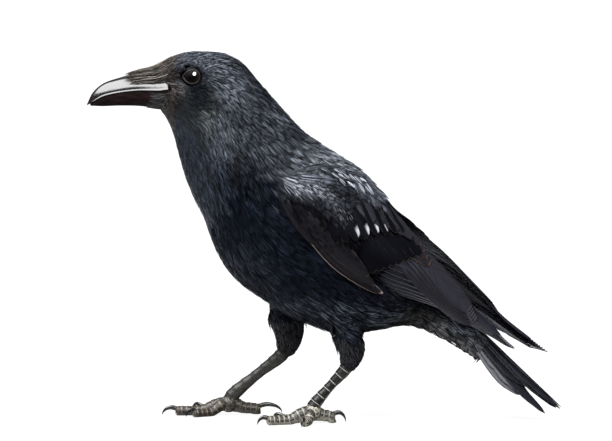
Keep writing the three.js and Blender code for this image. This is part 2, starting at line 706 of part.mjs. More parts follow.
/** A claw: a curved cone from above the last pad down to the floor. */
function clawStations(centre, toe) {
  const way = heading(toe);
  const at = (reach, height) => {
    const spot = new THREE.Vector3(centre[0], centre[1], 0).addScaledVector(way, toe.length + reach);
    return [spot.x, spot.y, height];
  };
  return [
    { at: at(-2.6, 4.6 + toe.arch), deep: 1.8, wide: 1.3 },
    { at: at(toe.claw * 0.3, 6.2 + toe.arch), deep: 1.7, wide: 1.2 },
    { at: at(toe.claw * 0.72, 5.0 + toe.arch * 0.8), deep: 1.2, wide: 0.85 },
    { at: at(toe.claw * 0.95, 2.6 + toe.arch * 0.4), deep: 0.7, wide: 0.5 },
    { at: at(toe.claw, 0.4), deep: 0.25, wide: 0.25 },
  ];
}

/** The floor's half of space, to cut flats. */
function underFloor() {
  const block = new THREE.BoxGeometry(500, 300, 40);
  block.translate(0, 0, -20);
  return solid(block);
}

// ---- the whole bird ------------------------------------------------------------------------------

const group = new THREE.Group();
const nodes = [];
const torsoForm = solid(loft(bodyLength(BODY, NECK_END - 1, TORSO_END, 16, JOINT_GAP)));

nodes.push(node('head', head(), plumage));
nodes.push(node('neck', solid(loft(clearFirst(bodyLength(BODY, HEAD_END, NECK_END, 6)))), plumage));
nodes.push(node('torso', solid(loft(clearFirst(bodyLength(BODY, NECK_END, TORSO_END, 14)))), plumage));
nodes.push(node('bill_upper', billHalf(false), horn));
nodes.push(node('bill_lower', billHalf(true), horn));
nodes.push(node('eye_left', eye(-1), eyeball));
nodes.push(node('eye_right', eye(1), eyeball));

nodes.push(node('wing_left', wingForm(LEFT_WING).subtract(torsoForm), flightPlumage));
nodes.push(node('wing_right', wingForm(RIGHT_WING).subtract(torsoForm), flightPlumage));
nodes.push(node('tail', tailForm(), flightPlumage));

for (const [leg, toes] of [[LEFT_LEG, LEFT_TOES], [RIGHT_LEG, RIGHT_TOES]]) {
  const floor = underFloor();
  const sideways = new THREE.Vector3(0, 1, 0);
  const shankClear = limb(leg.shank, 8, 10, sideways, JOINT_GAP + SCUTE.proud).add(ball(leg.ball, JOINT_GAP));
  const thigh = limb(leg.thigh, 8, 14, sideways).subtract(torsoForm).subtract(shankClear);
  nodes.push(node(`thigh_${leg.side}`, thigh, plumage));
  const foot = scutedLimb(leg.shank, SCUTE.shank, 10, sideways, Math.PI).add(ball(leg.ball)).subtract(floor);
  nodes.push(node(`tarsus_${leg.side}`, foot, scale));
  let taken = shankClear;
  for (const i of TOE_ORDER) {
    const toe = toes[i];
    const across = acrossToe(toe);
    const claw = limb(clawStations(leg.ball, toe), 5, 5, across);
    const clawClear = limb(clawStations(leg.ball, toe), 5, 5, across, JOINT_GAP);
    const form = scutedLimb(toeStations(leg.ball, toe), SCUTE.toe, LIMB_SIDES, across, 0);
    const clear = limb(toeStations(leg.ball, toe), 5, LIMB_SIDES, across, JOINT_GAP + SCUTE.proud);
    const trimmed = form.subtract(taken).subtract(clawClear).subtract(floor);
    nodes.push(node(`toe_${leg.side}_${i + 1}`, trimmed, scale));
    nodes.push(node(`claw_${leg.side}_${i + 1}`, claw.subtract(floor), horn));
    taken = taken.add(clear);
  }
}

nodes.forEach((mesh) => group.add(mesh));
const box = new THREE.Box3().setFromObject(group);
const middle = box.getCenter(new THREE.Vector3());
nodes.forEach((mesh) => mesh.position.set(-middle.x, -middle.y, 0));

export default group;
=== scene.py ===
"""A standing carrion crow, life-size: its skin, feathers, bill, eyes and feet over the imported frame."""
import logging
import math
from dataclasses import dataclass, field
from enum import Enum
from functools import partial
from typing import Callable

import bpy
import numpy as np
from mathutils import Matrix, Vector
from mathutils.bvhtree import BVHTree
from mathutils.kdtree import KDTree


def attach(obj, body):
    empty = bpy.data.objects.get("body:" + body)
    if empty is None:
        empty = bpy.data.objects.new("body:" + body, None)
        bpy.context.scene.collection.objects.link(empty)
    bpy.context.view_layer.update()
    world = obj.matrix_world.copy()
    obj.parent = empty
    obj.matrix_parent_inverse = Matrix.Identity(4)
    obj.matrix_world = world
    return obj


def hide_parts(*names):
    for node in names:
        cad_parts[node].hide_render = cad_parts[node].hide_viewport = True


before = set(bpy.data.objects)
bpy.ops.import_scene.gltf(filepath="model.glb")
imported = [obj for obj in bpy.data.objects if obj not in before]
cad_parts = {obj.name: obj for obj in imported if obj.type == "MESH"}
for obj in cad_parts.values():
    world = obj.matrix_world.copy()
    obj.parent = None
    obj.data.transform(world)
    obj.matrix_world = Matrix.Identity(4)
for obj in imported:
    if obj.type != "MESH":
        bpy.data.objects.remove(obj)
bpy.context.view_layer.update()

Array = np.ndarray
Random = np.random.Generator
Piece = bpy.types.Object
Mesh = bpy.types.Mesh
Material = bpy.types.Material
Span = tuple[float, float]
Spot = tuple[float, float, float]
Lay = Callable[[Array, Array, Array], Array]

LOG = logging.getLogger("crow")
MM = 0.001


# ---- numbers and curves ----


@dataclass(frozen=True)
class Curve:
    """A smooth line through a few (place, value) pairs, level beyond its ends."""

    pairs: tuple[Span, ...]

    def __call__(self, place: Array | float) -> Array:
        """Return the value at a place, or at each of many.

        Args:
            place: One place or an array of them.

        Returns:
            The value at each.
        """
        x, y = np.array(self.pairs, dtype=float).T
        last = len(x) - 1
        after = np.minimum(np.arange(last + 1) + 1, last)
        before = np.maximum(np.arange(last + 1) - 1, 0)
        slope = (y[after] - y[before]) / (x[after] - x[before])
        p = np.clip(place, x[0], x[-1])
        i = np.clip(np.searchsorted(x, p, side="left") - 1, 0, last - 1)
        span = x[i + 1] - x[i]
        t = (p - x[i]) / span
        rest = 1 - t
        start = y[i] * (1 + 2 * t) + slope[i] * span * t
        end = y[i + 1] * (3 - 2 * t) - slope[i + 1] * span * rest
        return start * rest**2 + end * t**2


def column(rows: tuple | Array, index: int, over: int | None = None) -> Curve:
    """Return a column of a table as a curve over the count of its rows, or over another column."""
    places = range(len(rows)) if over is None else [row[over] for row in rows]
    return Curve(tuple((float(place), float(row[index])) for place, row in zip(places, rows)))


def mix(first: float, last: float, share: Array | float) -> Array | float:
    """Return the value a share of the way from first to last."""
    return first + (last - first) * share


def unit(vectors: Array) -> Array:
    """Return vectors, held in the last axis, at length one."""
    return vectors / np.maximum(np.linalg.norm(vectors, axis=-1, keepdims=True), 1e-9)


def fade(value: Array, low: float, high: float) -> Array:
    """Return 0 below low and 1 above high, smooth between them."""
    t = np.clip((value - low) / (high - low), 0, 1)
    return t * t * (3 - 2 * t)


# ---- modelling ----


def deselect() -> None:
    """Leave nothing selected, so that the next operator acts on its own piece only."""
    if bpy.context.object and bpy.context.object.mode != "OBJECT":
        bpy.ops.object.mode_set(mode="OBJECT")
    bpy.ops.object.select_all(action="DESELECT")


def pick_up(piece: Piece) -> None:
    """Make one piece the only one selected, and the active one."""
    deselect()
    piece.select_set(True)
    bpy.context.view_layer.objects.active = piece


def open_up(piece: Piece) -> None:
    """Open a piece in edit mode, with all of it selected."""
    pick_up(piece)
    bpy.ops.object.mode_set(mode="EDIT")
    bpy.ops.mesh.select_all(action="SELECT")


def close_up(piece: Piece) -> Piece:
    """Turn the faces of a closed piece outwards, smooth it and return it."""
    open_up(piece)
    bpy.ops.mesh.normals_make_consistent(inside=False)
    bpy.ops.object.mode_set(mode="OBJECT")
    bpy.ops.object.shade_smooth()
    return piece


def start_piece(name: str, add: Callable, **sizes) -> Piece:
    """Add a primitive at the origin and return it as a named piece."""
    deselect()
    add(location=(0, 0, 0), **sizes)
    piece = bpy.context.object
    piece.name = piece.data.name = name
    return piece


def points_of(mesh: Mesh) -> Array:
    """Return the points of a mesh as rows of x, y and z."""
    flat = np.empty(len(mesh.vertices) * 3)
    mesh.vertices.foreach_get("co", flat)
    return flat.reshape(-1, 3)


def normals_of(mesh: Mesh) -> Array:
    """Return the point normals of a mesh as rows of x, y and z."""
    flat = np.empty(len(mesh.vertices) * 3)
    mesh.vertex_normals.foreach_get("vector", flat)
    return flat.reshape(-1, 3)


def move_points(mesh: Mesh, points: Array) -> None:
    """Put the points of a mesh in new places, in metres."""
    mesh.vertices.foreach_set("co", points.ravel())
    mesh.update()


def keep_map(mesh: Mesh, name: str, values: Array) -> None:
    """Keep two numbers for each point as a UV map."""
    corners = np.empty(len(mesh.loops), dtype=np.int64)
    mesh.loops.foreach_get("vertex_index", corners)
    layer = mesh.uv_layers.get(name) or mesh.uv_layers.new(name=name)
    layer.uv.foreach_set("vector", values[corners].astype(np.float32).ravel())


def tube(
    name: str, sides: int, rings: int, place: Lay, chart: Callable[[Array, Array], Array] | None = None
) -> Piece:
    """Extrude a closed round bar, ring by ring, and move its rings to where they belong.

    Args:
        name: Name of the piece.
        sides: Points round it.
        rings: Rings along it.
        place: Gives places in millimetres for the ring, the angle round it and 0 or 1 for core or rim.
        chart: Gives two numbers for the ring and the angle, kept in the UV map Scale.

    Returns:
        The shaped piece.
    """
    circle = bpy.ops.mesh.primitive_circle_add
    piece = start_piece(name, circle, vertices=sides, radius=1.0, fill_type="TRIFAN")
    open_up(piece)
    for _ in range(rings - 1):
        bpy.ops.mesh.extrude_region_move(TRANSFORM_OT_translate={"value": (0, 0, 1)})
    bpy.ops.mesh.select_all(action="SELECT")
    bpy.ops.mesh.normals_make_consistent(inside=False)
    bpy.ops.object.mode_set(mode="OBJECT")
    blank = points_of(piece.data)
    ring = np.round(blank[:, 2])
    angle = np.arctan2(blank[:, 1], blank[:, 0]) % (2 * math.pi)
    rim = np.round(np.hypot(blank[:, 0], blank[:, 1]))
    move_points(piece.data, place(ring, angle, rim) * MM)
    if chart:
        keep_map(piece.data, "Scale", chart(ring, angle))
    return close_up(piece)


def mesh_from(
    name: str, points: Array, quads: Array, tris: Array, maps: dict[str, Array], tags: dict[str, Array]
) -> Piece:
    """Join many small shapes, given as arrays, in one piece.

    Args:
        name: Name of the piece.
        points: Places in millimetres.
        quads: Faces of four points.
        tris: Faces of three points.
        maps: Two numbers for each point, by UV map.
        tags: One number for each point, by attribute.

    Returns:
        The piece, linked to the scene.
    """
    mesh = bpy.data.meshes.new(name)
    corners = np.concatenate([quads.ravel(), tris.ravel()]).astype(np.int32)
    sizes = np.concatenate([np.full(len(quads), 4), np.full(len(tris), 3)])
    starts = np.concatenate([[0], np.cumsum(sizes)[:-1]]).astype(np.int32)
    mesh.vertices.add(len(points))
    mesh.vertices.foreach_set("co", (points * MM).astype(np.float32).ravel())
    mesh.loops.add(len(corners))
    mesh.loops.foreach_set("vertex_index", corners)
    mesh.polygons.add(len(sizes))
    mesh.polygons.foreach_set("loop_start", starts)
    mesh.update(calc_edges=True)
    mesh.polygons.foreach_set("use_smooth", np.ones(len(sizes), dtype=bool))
    for key, values in maps.items():
        keep_map(mesh, key, values)
    for key, values in tags.items():
        layer = mesh.attributes.new(key, "FLOAT", "POINT")
        layer.data.foreach_set("value", values.astype(np.float32).ravel())
    piece = bpy.data.objects.new(name, mesh)
    bpy.context.collection.objects.link(piece)
    return piece


# ---- finishes ----


def linear(code: str) -> tuple[float, float, float, float]:
    """Turn a display colour, as six hex digits, into the linear colour that a shader takes."""
    parts = [int(code[i:i + 2], 16) / 255 for i in (0, 2, 4)]
    bright = [c / 12.92 if c <= 0.04045 else ((c + 0.055) / 1.055) ** 2.4 for c in parts]
    return (bright[0], bright[1], bright[2], 1.0)


def plug(node: bpy.types.Node, **inputs) -> None:
    """Set or link sockets of a node, by name with _ for a space, or by i and a number."""
    for key, value in inputs.items():
        socket = node.inputs[int(key[1:]) if key[1:].isdigit() else key.replace("_", " ")]
        if isinstance(value, bpy.types.NodeSocket):
            node.id_data.links.new(value, socket)
        else:
            socket.default_value = value


def add_node(
    tree: bpy.types.NodeTree, kind: str, settings: dict | None = None, stops: tuple = (), **inputs
) -> bpy.types.bpy_prop_collection:
    """Add one node with its settings and its inputs.

    Args:
        tree: Node tree that it joins.
        kind: Type name of the node, after ShaderNode.
        settings: Values for its own fields.
        stops: Places and hex colours, where it is a colour ramp.
        **inputs: Sockets, as for plug.

    Returns:
        The outputs of the new node.
    """
    node = tree.nodes.new(f"ShaderNode{kind}")
    for key, value in (settings or {}).items():
        setattr(node, key, value)
    for number, (place, code) in enumerate(stops):
        band = node.color_ramp.elements
        element = band[number] if number < len(band) else band.new(place)
        element.position = place
        element.color = linear(code)
    plug(node, **inputs)
    return node.outputs


def new_material(name: str) -> tuple[Material, Callable, bpy.types.Node]:
    """Start a material, named for the real one; return it, what adds its nodes, and its surface shader."""
    material = bpy.data.materials.new(name)
    material.use_nodes = True
    tree = material.node_tree
    return material, partial(add_node, tree), tree.nodes["Principled BSDF"]


def per_metre(size_mm: float) -> float:
    """Return the texture scale, on coordinates in metres, of a pattern of a real size."""
    return 1.0 / (size_mm * MM)


COLOUR = {"data_type": "RGBA"}
TIMES = {"operation": "MULTIPLY"}
SIZE = {"operation": "ABSOLUTE"}
GREATER = {"operation": "MAXIMUM"}


@dataclass(frozen=True)
class PlumageFinish:
    """Small contour feathers: black keratin whose loose barbs shine softly and a little blue."""

    name: str
    deep: str = "0b0c12"
    light: str = "1c2029"
    tip: str = "23242a"
    roughness: float = 0.45
    gloss: float = 0.4
    tint: str = "d6def2"
    # Pale colour that the tone attribute mixes into the brighter barbs: painted sheen on coat and wing, a
    # random paler cast on the bristles.
    pale_and_painted_sheen: str = "8a929e"

    def material(self) -> Material:
        """Return the material: dark at each root, with worn tips, a pale colour on its brighter barbs where
        the tone attribute is above 0 and a darker specular tint where it is below 0, which are painted sheen
        and painted shade on coat and wing, and random on the bristles.
        """
        material, add, shader = new_material(self.name)
        strand = add("Attribute", {"attribute_name": "strand"})["Fac"]
        tone = add("Attribute", {"attribute_name": "tone"})["Fac"]
        along = add("SeparateXYZ", Vector=add("UVMap", {"uv_map": "Vane"})[0])[1]
        barbs = add("ValToRGB", stops=((0.0, self.deep), (0.55, self.deep), (0.9, self.light)), Fac=strand)[0]
        worn = add("MapRange", i0=along, i1=0.55, i4=0.7)[0]
        whole = add("Mix", COLOUR, i0=worn, i6=barbs, i7=linear(self.tip))[2]
        bright = add("MapRange", i0=strand, i1=0.3, i2=0.75, i3=0.05)[0]
        shown = add("Math", TIMES, i0=bright, i1=tone)[0]
        pale_and_painted_sheen_mix = add("Mix", COLOUR, i0=shown, i6=whole, i7=linear(self.pale_and_painted_sheen))[2]
        rough = add("MapRange", i0=strand, i3=min(1.0, self.roughness + 0.2), i4=self.roughness - 0.12)[0]
        # Painted shade: where tone falls below 0, the specular tint is drawn towards the deep colour, so that
        # the barbs shine less.
        free_of_painted_shade = add("MapRange", i0=tone, i1=-0.6, i2=0.0)[0]
        uneven = add("MapRange", i0=strand, i1=0.2, i2=0.65, i3=0.25)[0]
        glossy = add("Math", TIMES, i0=free_of_painted_shade, i1=uneven)[0]
        shine = add("Mix", COLOUR, i0=glossy, i6=linear(self.deep), i7=linear(self.tint))[2]
        plug(shader, Base_Color=pale_and_painted_sheen_mix, Roughness=rough, Specular_IOR_Level=self.gloss, Specular_Tint=shine)
        return material


@dataclass(frozen=True)
class FlightFinish:
    """Flight feathers and coverts: firm black vanes, fine parallel barbs, paler worn edges, and a pale colour
    painted where the attribute pale is set, as painted glints, painted light and a painted reflection.
    """

    name: str
    deep: str = "0a0a10"
    sheen: str = "15151d"
    edge: str = "4a4748"
    roughness: float = 0.42
    gloss: float = 0.3
    tint: str = "cdd3ee"
    barb_mm: float = 1.1
    # Colour of the painted glints, painted light and painted reflection that the attribute pale mixes in.
    pale: str = "b4b6bc"
    rim_share: float = 0.46
    slant: float = 1.5

    def material(self) -> Material:
        """Return the material: barbs slant out from the shaft, the rim of each vane is worn pale, and painted
        light in a pale colour is mixed in by the attribute pale.
        """
        material, add, shader = new_material(self.name)
        place = add("SeparateXYZ", Vector=add("UVMap", {"uv_map": "Barb"})[0])
        share = add("SeparateXYZ", Vector=add("UVMap", {"uv_map": "Vane"})[0])
        pale = add("Attribute", {"attribute_name": "pale"})["Fac"]
        worn = add("Attribute", {"attribute_name": "rim"})["Fac"]
        aside = add("Math", SIZE, i0=place[0])[0]
        slant = add("Math", {"operation": "MULTIPLY_ADD"}, i0=aside, i1=-self.slant, i2=place[1])[0]
        # The maps are in centimetres, so a barb's spacing in millimetres gives this many lines for each unit.
        lines = add("CombineXYZ", X=slant, Y=aside)[0]
        stretch = add("Mapping", Vector=lines, Scale=(10.0 / self.barb_mm, 0.9, 1.0))[0]
        flat = {"noise_dimensions": "2D"}
        grain = add("TexNoise", flat, Vector=stretch, Scale=1.0, Detail=2.0, Roughness=0.6)[0]
        barbs = add("ValToRGB", stops=((0.35, self.deep), (0.75, self.sheen)), Fac=grain)[0]
        centred = add("Math", {"operation": "SUBTRACT"}, i0=share[0], i1=0.5)[0]
        out = add("Math", SIZE, i0=centred)[0]
        rim = add("MapRange", i0=out, i1=self.rim_share, i2=self.rim_share + 0.03)[0]
        worn_tip = add("MapRange", i0=share[1], i1=0.975, i2=0.995)[0]
        most = add("Math", GREATER, i0=rim, i1=worn_tip)[0]
        either = add("Math", TIMES, i0=most, i1=worn)[0]
        edged = add("Mix", COLOUR, i0=either, i6=barbs, i7=linear(self.edge))[2]
        # Painted light: mix in the pale colour where the attribute pale is set.
        painted_light = add("Mix", COLOUR, i0=pale, i6=edged, i7=linear(self.pale))[2]
        bump = add("Bump", Height=grain, Strength=0.35, Distance=0.0002)[0]
        plug(shader, Base_Color=painted_light, Normal=bump, Roughness=self.roughness)
        plug(shader, Specular_IOR_Level=self.gloss, Specular_Tint=linear(self.tint))
        return material


@dataclass(frozen=True)
class HornFinish:
    """Bill and claws: black keratin, polished by use, with faint growth lines and a brown cast."""

    name: str
    deep: str = "0c0b0d"
    cast: str = "221a1b"
    roughness: float = 0.1
    gloss: float = 1.0
    grain_mm: float = 1.4

    def material(self) -> Material:
        """Return the material: long faint growth lines in the colour, the gloss and the surface."""
        material, add, shader = new_material(self.name)
        stretch = add("Mapping", Vector=add("TexCoord")["Object"], Scale=(0.12, 1.0, 1.0))[0]
        grain = add("TexNoise", Vector=stretch, Scale=per_metre(self.grain_mm), Detail=3.0, Roughness=0.55)[0]
        colour = add("ValToRGB", stops=((0.35, self.deep), (0.8, self.cast)), Fac=grain)[0]
        rough = add("MapRange", i0=grain, i1=0.3, i2=0.8, i3=self.roughness, i4=self.roughness + 0.08)[0]
        bump = add("Bump", Height=grain, Strength=0.08, Distance=0.0002)[0]
        plug(shader, Base_Color=colour, Roughness=rough, Normal=bump, Specular_IOR_Level=self.gloss)
        return material


@dataclass(frozen=True)
class ScuteFinish:
    """Leg scales: dark horny plates with pale seams, small cells between them, and paler worn soles."""

    name: str
    plate: str = "101010"
    light: str = "343330"
    seam: str = "b4b2a8"
    sole: str = "b4b2a8"
    roughness: float = 0.36
    seam_share: float = 0.07
    sole_share: float = 0.05
    cell_mm: float = 1.1
    cells: float = 0.0
    mottle_mm: float = 1.613

    def material(self) -> Material:
        """Return the material: one plate for each unit of the Scale map, with its seams, cells and sole."""
        material, add, shader = new_material(self.name)
        chart = add("SeparateXYZ", Vector=add("UVMap", {"uv_map": "Scale"})[0])
        place = add("TexCoord")["Object"]
        mottle = add("TexNoise", Vector=place, Scale=per_metre(self.mottle_mm), Detail=3.0, Roughness=0.65)[0]
        body = add("ValToRGB", stops=((0.36, self.plate), (0.72, self.light)), Fac=mottle)[0]
        step = add("Math", {"operation": "FRACT"}, i0=chart[1])[0]
        line = add("MapRange", i0=step, i1=1.0 - 1.6 * self.seam_share, i2=1.0 - self.seam_share)[0]
        # The seams show over the front and the flanks, and fade on the soles.
        front = add("MapRange", i0=chart[0], i1=0.1, i2=0.3, i4=0.85)[0]
        seams = add("Math", TIMES, i0=line, i1=front)[0]
        edge = add("TexVoronoi", {"feature": "DISTANCE_TO_EDGE"}, Vector=place, Scale=per_metre(self.cell_mm))
        rims = add("MapRange", i0=edge["Distance"], i1=0.02, i2=0.09, i3=self.cells, i4=0.0)[0]
        strength = add("Math", GREATER, i0=seams, i1=rims)[0]
        colour = add("Mix", COLOUR, i0=strength, i6=body, i7=linear(self.seam))[2]
        under = add("ValToRGB", stops=((0.38, self.plate), (0.5, self.sole)), Fac=mottle)[0]
        low, high = self.sole_share - 0.12, self.sole_share + 0.06
        turned = add("MapRange", i0=chart[0], i1=low, i2=high, i3=1.0, i4=0.0)[0]
        whole = add("Mix", COLOUR, i0=turned, i6=colour, i7=under)[2]
        bump = add("Bump", Height=mottle, Strength=0.4, Distance=0.0004)[0]
        plug(shader, Base_Color=whole, Normal=bump, Roughness=self.roughness, Specular_IOR_Level=0.5)
        return material


@dataclass(frozen=True)
class SkinFinish:
    """Bare skin and down under the feathers: matt, blue-black and finely puckered."""

    name: str
    deep: str = "07080c"
    light: str = "101219"
    roughness: float = 0.7
    gloss: float = 0.15
    pucker_mm: float = 2.381

    def material(self) -> Material:
        """Return the material: a soft mottle at the size of feather roots."""
        material, add, shader = new_material(self.name)
        place = add("TexCoord")["Object"]
        mottle = add("TexNoise", Vector=place, Scale=per_metre(self.pucker_mm), Detail=3.0, Roughness=0.6)[0]
        colour = add("ValToRGB", stops=((0.3, self.deep), (0.8, self.light)), Fac=mottle)[0]
        bump = add("Bump", Height=mottle, Strength=0.5, Distance=0.0006)[0]
        plug(shader, Base_Color=colour, Normal=bump, Roughness=self.roughness, Specular_IOR_Level=self.gloss)
        return material


@dataclass(frozen=True)
class EyeFinish:
    """A dark brown eye behind a wet cornea."""

    name: str
    centre: Spot
    pupil: str = "020202"
    iris: str = "120b07"
    rim: str = "050404"
    reach_mm: float = 6.6

    def material(self) -> Material:
        """Return the material: pupil, iris and rim as rings about the eye's axis, under a clear coat."""
        material, add, shader = new_material(self.name)
        middle = tuple(-c * MM for c in self.centre)
        local = add("Mapping", Vector=add("TexCoord")["Object"], Location=middle)[0]
        parts = add("SeparateXYZ", Vector=local)
        flat = add("CombineXYZ", X=parts[0], Z=parts[2])[0]
        radius = add("VectorMath", {"operation": "LENGTH"}, i0=flat)["Value"]
        share = add("MapRange", i0=radius, i2=self.reach_mm * MM)[0]
        stops = ((0.0, self.pupil), (0.5, self.pupil), (0.58, self.iris), (0.9, self.iris), (0.97, self.rim))
        rings = add("ValToRGB", stops=stops, Fac=share)[0]
        plug(shader, Base_Color=rings, Roughness=0.04, Specular_IOR_Level=0.5)
        plug(shader, Coat_Weight=1.0, Coat_Roughness=0.02)
        return material


# ---- the lie of the body ----


@dataclass(frozen=True)
class Body:
    """Upper and lower outline of the body from bill to tail root, which the feathers lie along."""

    # Each station: x and z of its upper point, x and z of its lower point, half of its width.
    stations: tuple[tuple[float, float, float, float, float], ...] = (
        (-126.5, 273.5, -126.5, 237.5, 11.5), (-117.5, 279.5, -122.5, 233.5, 15.5),
        (-103.5, 283.5, -117.0, 221.5, 18.0), (-90.5, 283.5, -114.0, 209.5, 19.0),
        (-76.5, 282.0, -111.5, 199.5, 20.0), (-63.5, 275.0, -108.0, 187.5, 22.0),
        (-52.0, 261.5, -102.0, 172.0, 27.0), (-34.5, 242.0, -93.0, 154.0, 35.0),
        (-15.0, 221.0, -83.0, 127.5, 42.0), (8.5, 205.6, -68.5, 107.0, 45.0),
        (33.0, 188.8, -45.5, 90.5, 45.0), (47.0, 166.0, -19.5, 76.0, 41.0), (60.0, 140.5, 9.5, 64.5, 34.0),
        (71.0, 123.0, 36.5, 65.8, 26.0), (80.0, 107.0, 58.5, 72.0, 17.0), (92.0, 95.0, 75.5, 68.5, 15.5),
        (106.0, 80.0, 94.0, 59.0, 15.5), (117.0, 69.0, 108.0, 51.0, 14.0), (127.0, 58.0, 118.0, 45.0, 8.0),
    )
    root_of_tail: float = 14.0

    def field(self, index: int) -> Curve:
        """Return one number of the stations as a curve over their count."""
        return column(self.stations, index)

    def ends(self, u: Array) -> tuple[Array, Array]:
        """Return the upper and lower outline points, as x and z, at places along the stations."""
        top = np.stack([self.field(0)(u), self.field(1)(u)], axis=-1)
        bottom = np.stack([self.field(2)(u), self.field(3)(u)], axis=-1)
        return top, bottom

    def locate(self, points: Array) -> tuple[Array, Array]:
        """Find where points lie along the body and between its outlines.

        Args:
            points: Places in millimetres.

        Returns:
            The place along the stations, and the share from the lower to the upper outline.
        """
        samples = np.linspace(0, len(self.stations) - 1, 361)
        top, bottom = self.ends(samples)
        rise = top - bottom
        lengths = (rise**2).sum(axis=1)
        along, share = np.empty(len(points)), np.empty(len(points))
        for start in range(0, len(points), 8192):
            flat = points[start:start + 8192][:, None, [0, 2]] - bottom[None]
            w = np.clip((flat * rise[None]).sum(axis=2) / lengths, 0, 1)
            gap = ((flat - w[..., None] * rise[None]) ** 2).sum(axis=2)
            best = gap.argmin(axis=1)
            rows = np.arange(len(best))
            along[start:start + 8192] = samples[best]
            share[start:start + 8192] = w[rows, best]
        return along, share

    def flow(self, u: Array, v: Array) -> Array:
        """Return the way that feathers point, from bill to tail, at places on the body."""
        step = 0.15
        ahead_top, ahead_bottom = self.ends(u + step)
        behind_top, behind_bottom = self.ends(u - step)
        w = v[:, None]
        way = (ahead_bottom * (1 - w) + ahead_top * w) - (behind_bottom * (1 - w) + behind_top * w)
        return unit(np.stack([way[:, 0], np.zeros(len(u)), way[:, 1]], axis=1))

    def outside(self, points: Array) -> Array:
        """Return how far to the side the body reaches at the length and height of each point."""
        u, v = self.locate(points)
        return self.field(4)(u) * np.sqrt(np.clip(1 - (2 * v - 1) ** 2, 0, 1))


BODY = Body()


@dataclass(frozen=True)
class Thigh:
    """The feathered part of a leg: places down its middle with a radius, and where it leaves the belly."""

    node: str
    places: tuple[tuple[float, float, float, float], ...]
    leaves: float

    def near(self, points: Array) -> tuple[Array, Array]:
        """Tell how far points belong to the thigh, and which way its feathers point there.

        Args:
            points: Places in millimetres.

        Returns:
            A share from 0 to 1 and a direction for each point.
        """
        line = np.array(self.places)
        best = np.full(len(points), 1e9)
        way = np.zeros((len(points), 3))
        for first, last in zip(line[:-1], line[1:]):
            run = last[:3] - first[:3]
            t = np.clip(((points - first[:3]) @ run) / (run @ run), 0, 1)
            gap = np.linalg.norm(points - (first[:3] + t[:, None] * run), axis=1)
            ratio = gap / mix(first[3], last[3], t)
            closer = ratio < best
            best[closer] = ratio[closer]
            way[closer] = unit(run)
        belongs = np.clip((1.5 - best) / 0.4, 0, 1) * np.clip((self.leaves - points[:, 2]) / 12, 0, 1)
        return belongs, way


LEFT_THIGH = Thigh(
    "thigh_left",
    ((16.0, -20.0, 84.0, 14.0), (17.5, -22.0, 66.0, 12.0), (20.5, -23.0, 55.5, 10.0),
     (18.0, -23.5, 46.5, 8.0), (16.5, -24.0, 41.0, 5.5)),
    74.0,
)
RIGHT_THIGH = Thigh(
    "thigh_right",
    ((-28.0, 19.0, 94.0, 17.0), (-29.5, 22.0, 76.0, 13.0), (-27.5, 24.0, 62.5, 11.0),
     (-30.0, 24.5, 51.5, 8.2), (-32.5, 24.5, 46.8, 5.8)),
    86.0,
)


# ---- wings ----


@dataclass(frozen=True)
class FeatherRow:
    """One row of a folded wing, from its lowest feather to the one nearest the back."""

    name: str
    count: int
    half: float
    pointed: float
    bow: float
    tilt: float
    step: float
    roots: tuple[Span, Span]
    tips: tuple[Span, Span]
    top: Curve
    ragged: float = 0.25
    painted_glint_tips: tuple[int, ...] = ()
    worn: float = 0.6
    clear: float | None = None
    worn_later: float = 1.0


WING_ROWS = (
    FeatherRow(
        "primaries", 8, 6.0, 0.8, 0.0, 0.5, 0.7, ((86, -0.12), (92, 0.42)), ((209, 0.52), (196, 0.9)),
        Curve(((86, -8), (98, -4.2), (112, -3.2), (150, -3.0), (172, -2.4), (209, -0.6))), 0.3, worn=0.5,
        clear=1.6,
    ),
    FeatherRow(
        "secondaries", 5, 11.5, 0.3, 0.6, 0.15, 0.25, ((80, 0.52), (72, 0.76)), ((172, 0.42), (164, 0.66)),
        Curve(((66, -7), (90, -4.6), (112, -1.8), (140, -0.8), (175, -0.2))), 0.05, worn=0.45,
    ),
    FeatherRow(
        "tertials", 4, 9.4, 0.2, 2.0, 0.5, 0.35, ((56, 0.66), (52, 0.80)), ((118, 0.72), (104, 0.84)),
        Curve(((50, -5.2), (75, -3.0), (104, -0.9))), 0.06, worn=0.9,
    ),
    FeatherRow(
        "primary_coverts", 3, 8.2, 0.9, 0.0, 0.2, 0.4, ((-6, 0.0), (8, 0.1)), ((101, -0.01), (84, 0.1)),
        Curve(((-6, -3.2), (20, -1.6), (60, -0.8), (100, -0.3))), 0.05, worn=1.0, clear=2.6, worn_later=0.12,
    ),
    FeatherRow(
        "alula", 3, 4.6, 0.7, 0.0, 0.2, 0.3, ((-8, -0.2), (4, 0.04)), ((50, 0.02), (36, 0.12)),
        Curve(((-8, -2.8), (20, -1.2), (60, -0.5))), 0.05, worn=0.0, clear=2.8,
    ),
    FeatherRow(
        "greater_coverts", 8, 6.8, 0.15, 1.5, 0.25, 0.08, ((54, 0.36), (66, 0.80)), ((86, 0.2), (108, 0.70)),
        Curve(((52, -5.2), (75, -2.0), (108, -0.4))), 0.05, worn=0.35,
    ),
    FeatherRow(
        "median_coverts", 8, 5.0, 0.15, 1.0, 0.6, 0.08, ((26, 0.33), (62, 0.90)), ((49, 0.16), (87, 0.75)),
        Curve(((26, -3.0), (44, -0.6), (84, 0.3))), 0.12, (2, 3, 4, 5), worn=0.3,
    ),
    FeatherRow(
        "scapulars", 6, 8.4, 0.15, 1.0, 0.3, 0.2, ((28, 0.72), (50, 0.88)), ((64, 0.60), (96, 0.78)),
        Curve(((20, -3.0), (40, -1.0), (60, -0.2), (100, -0.2))), 0.08, worn=0.3,
    ),
)

ROOF_HALF = Curve(
    ((-20, 42), (0, 46), (28, 50.5), (53, 51.5), (76, 49), (100, 43.5), (124, 36), (147, 28.5), (170, 22),
     (190, 17.5), (209, 14), (236, 9))
)


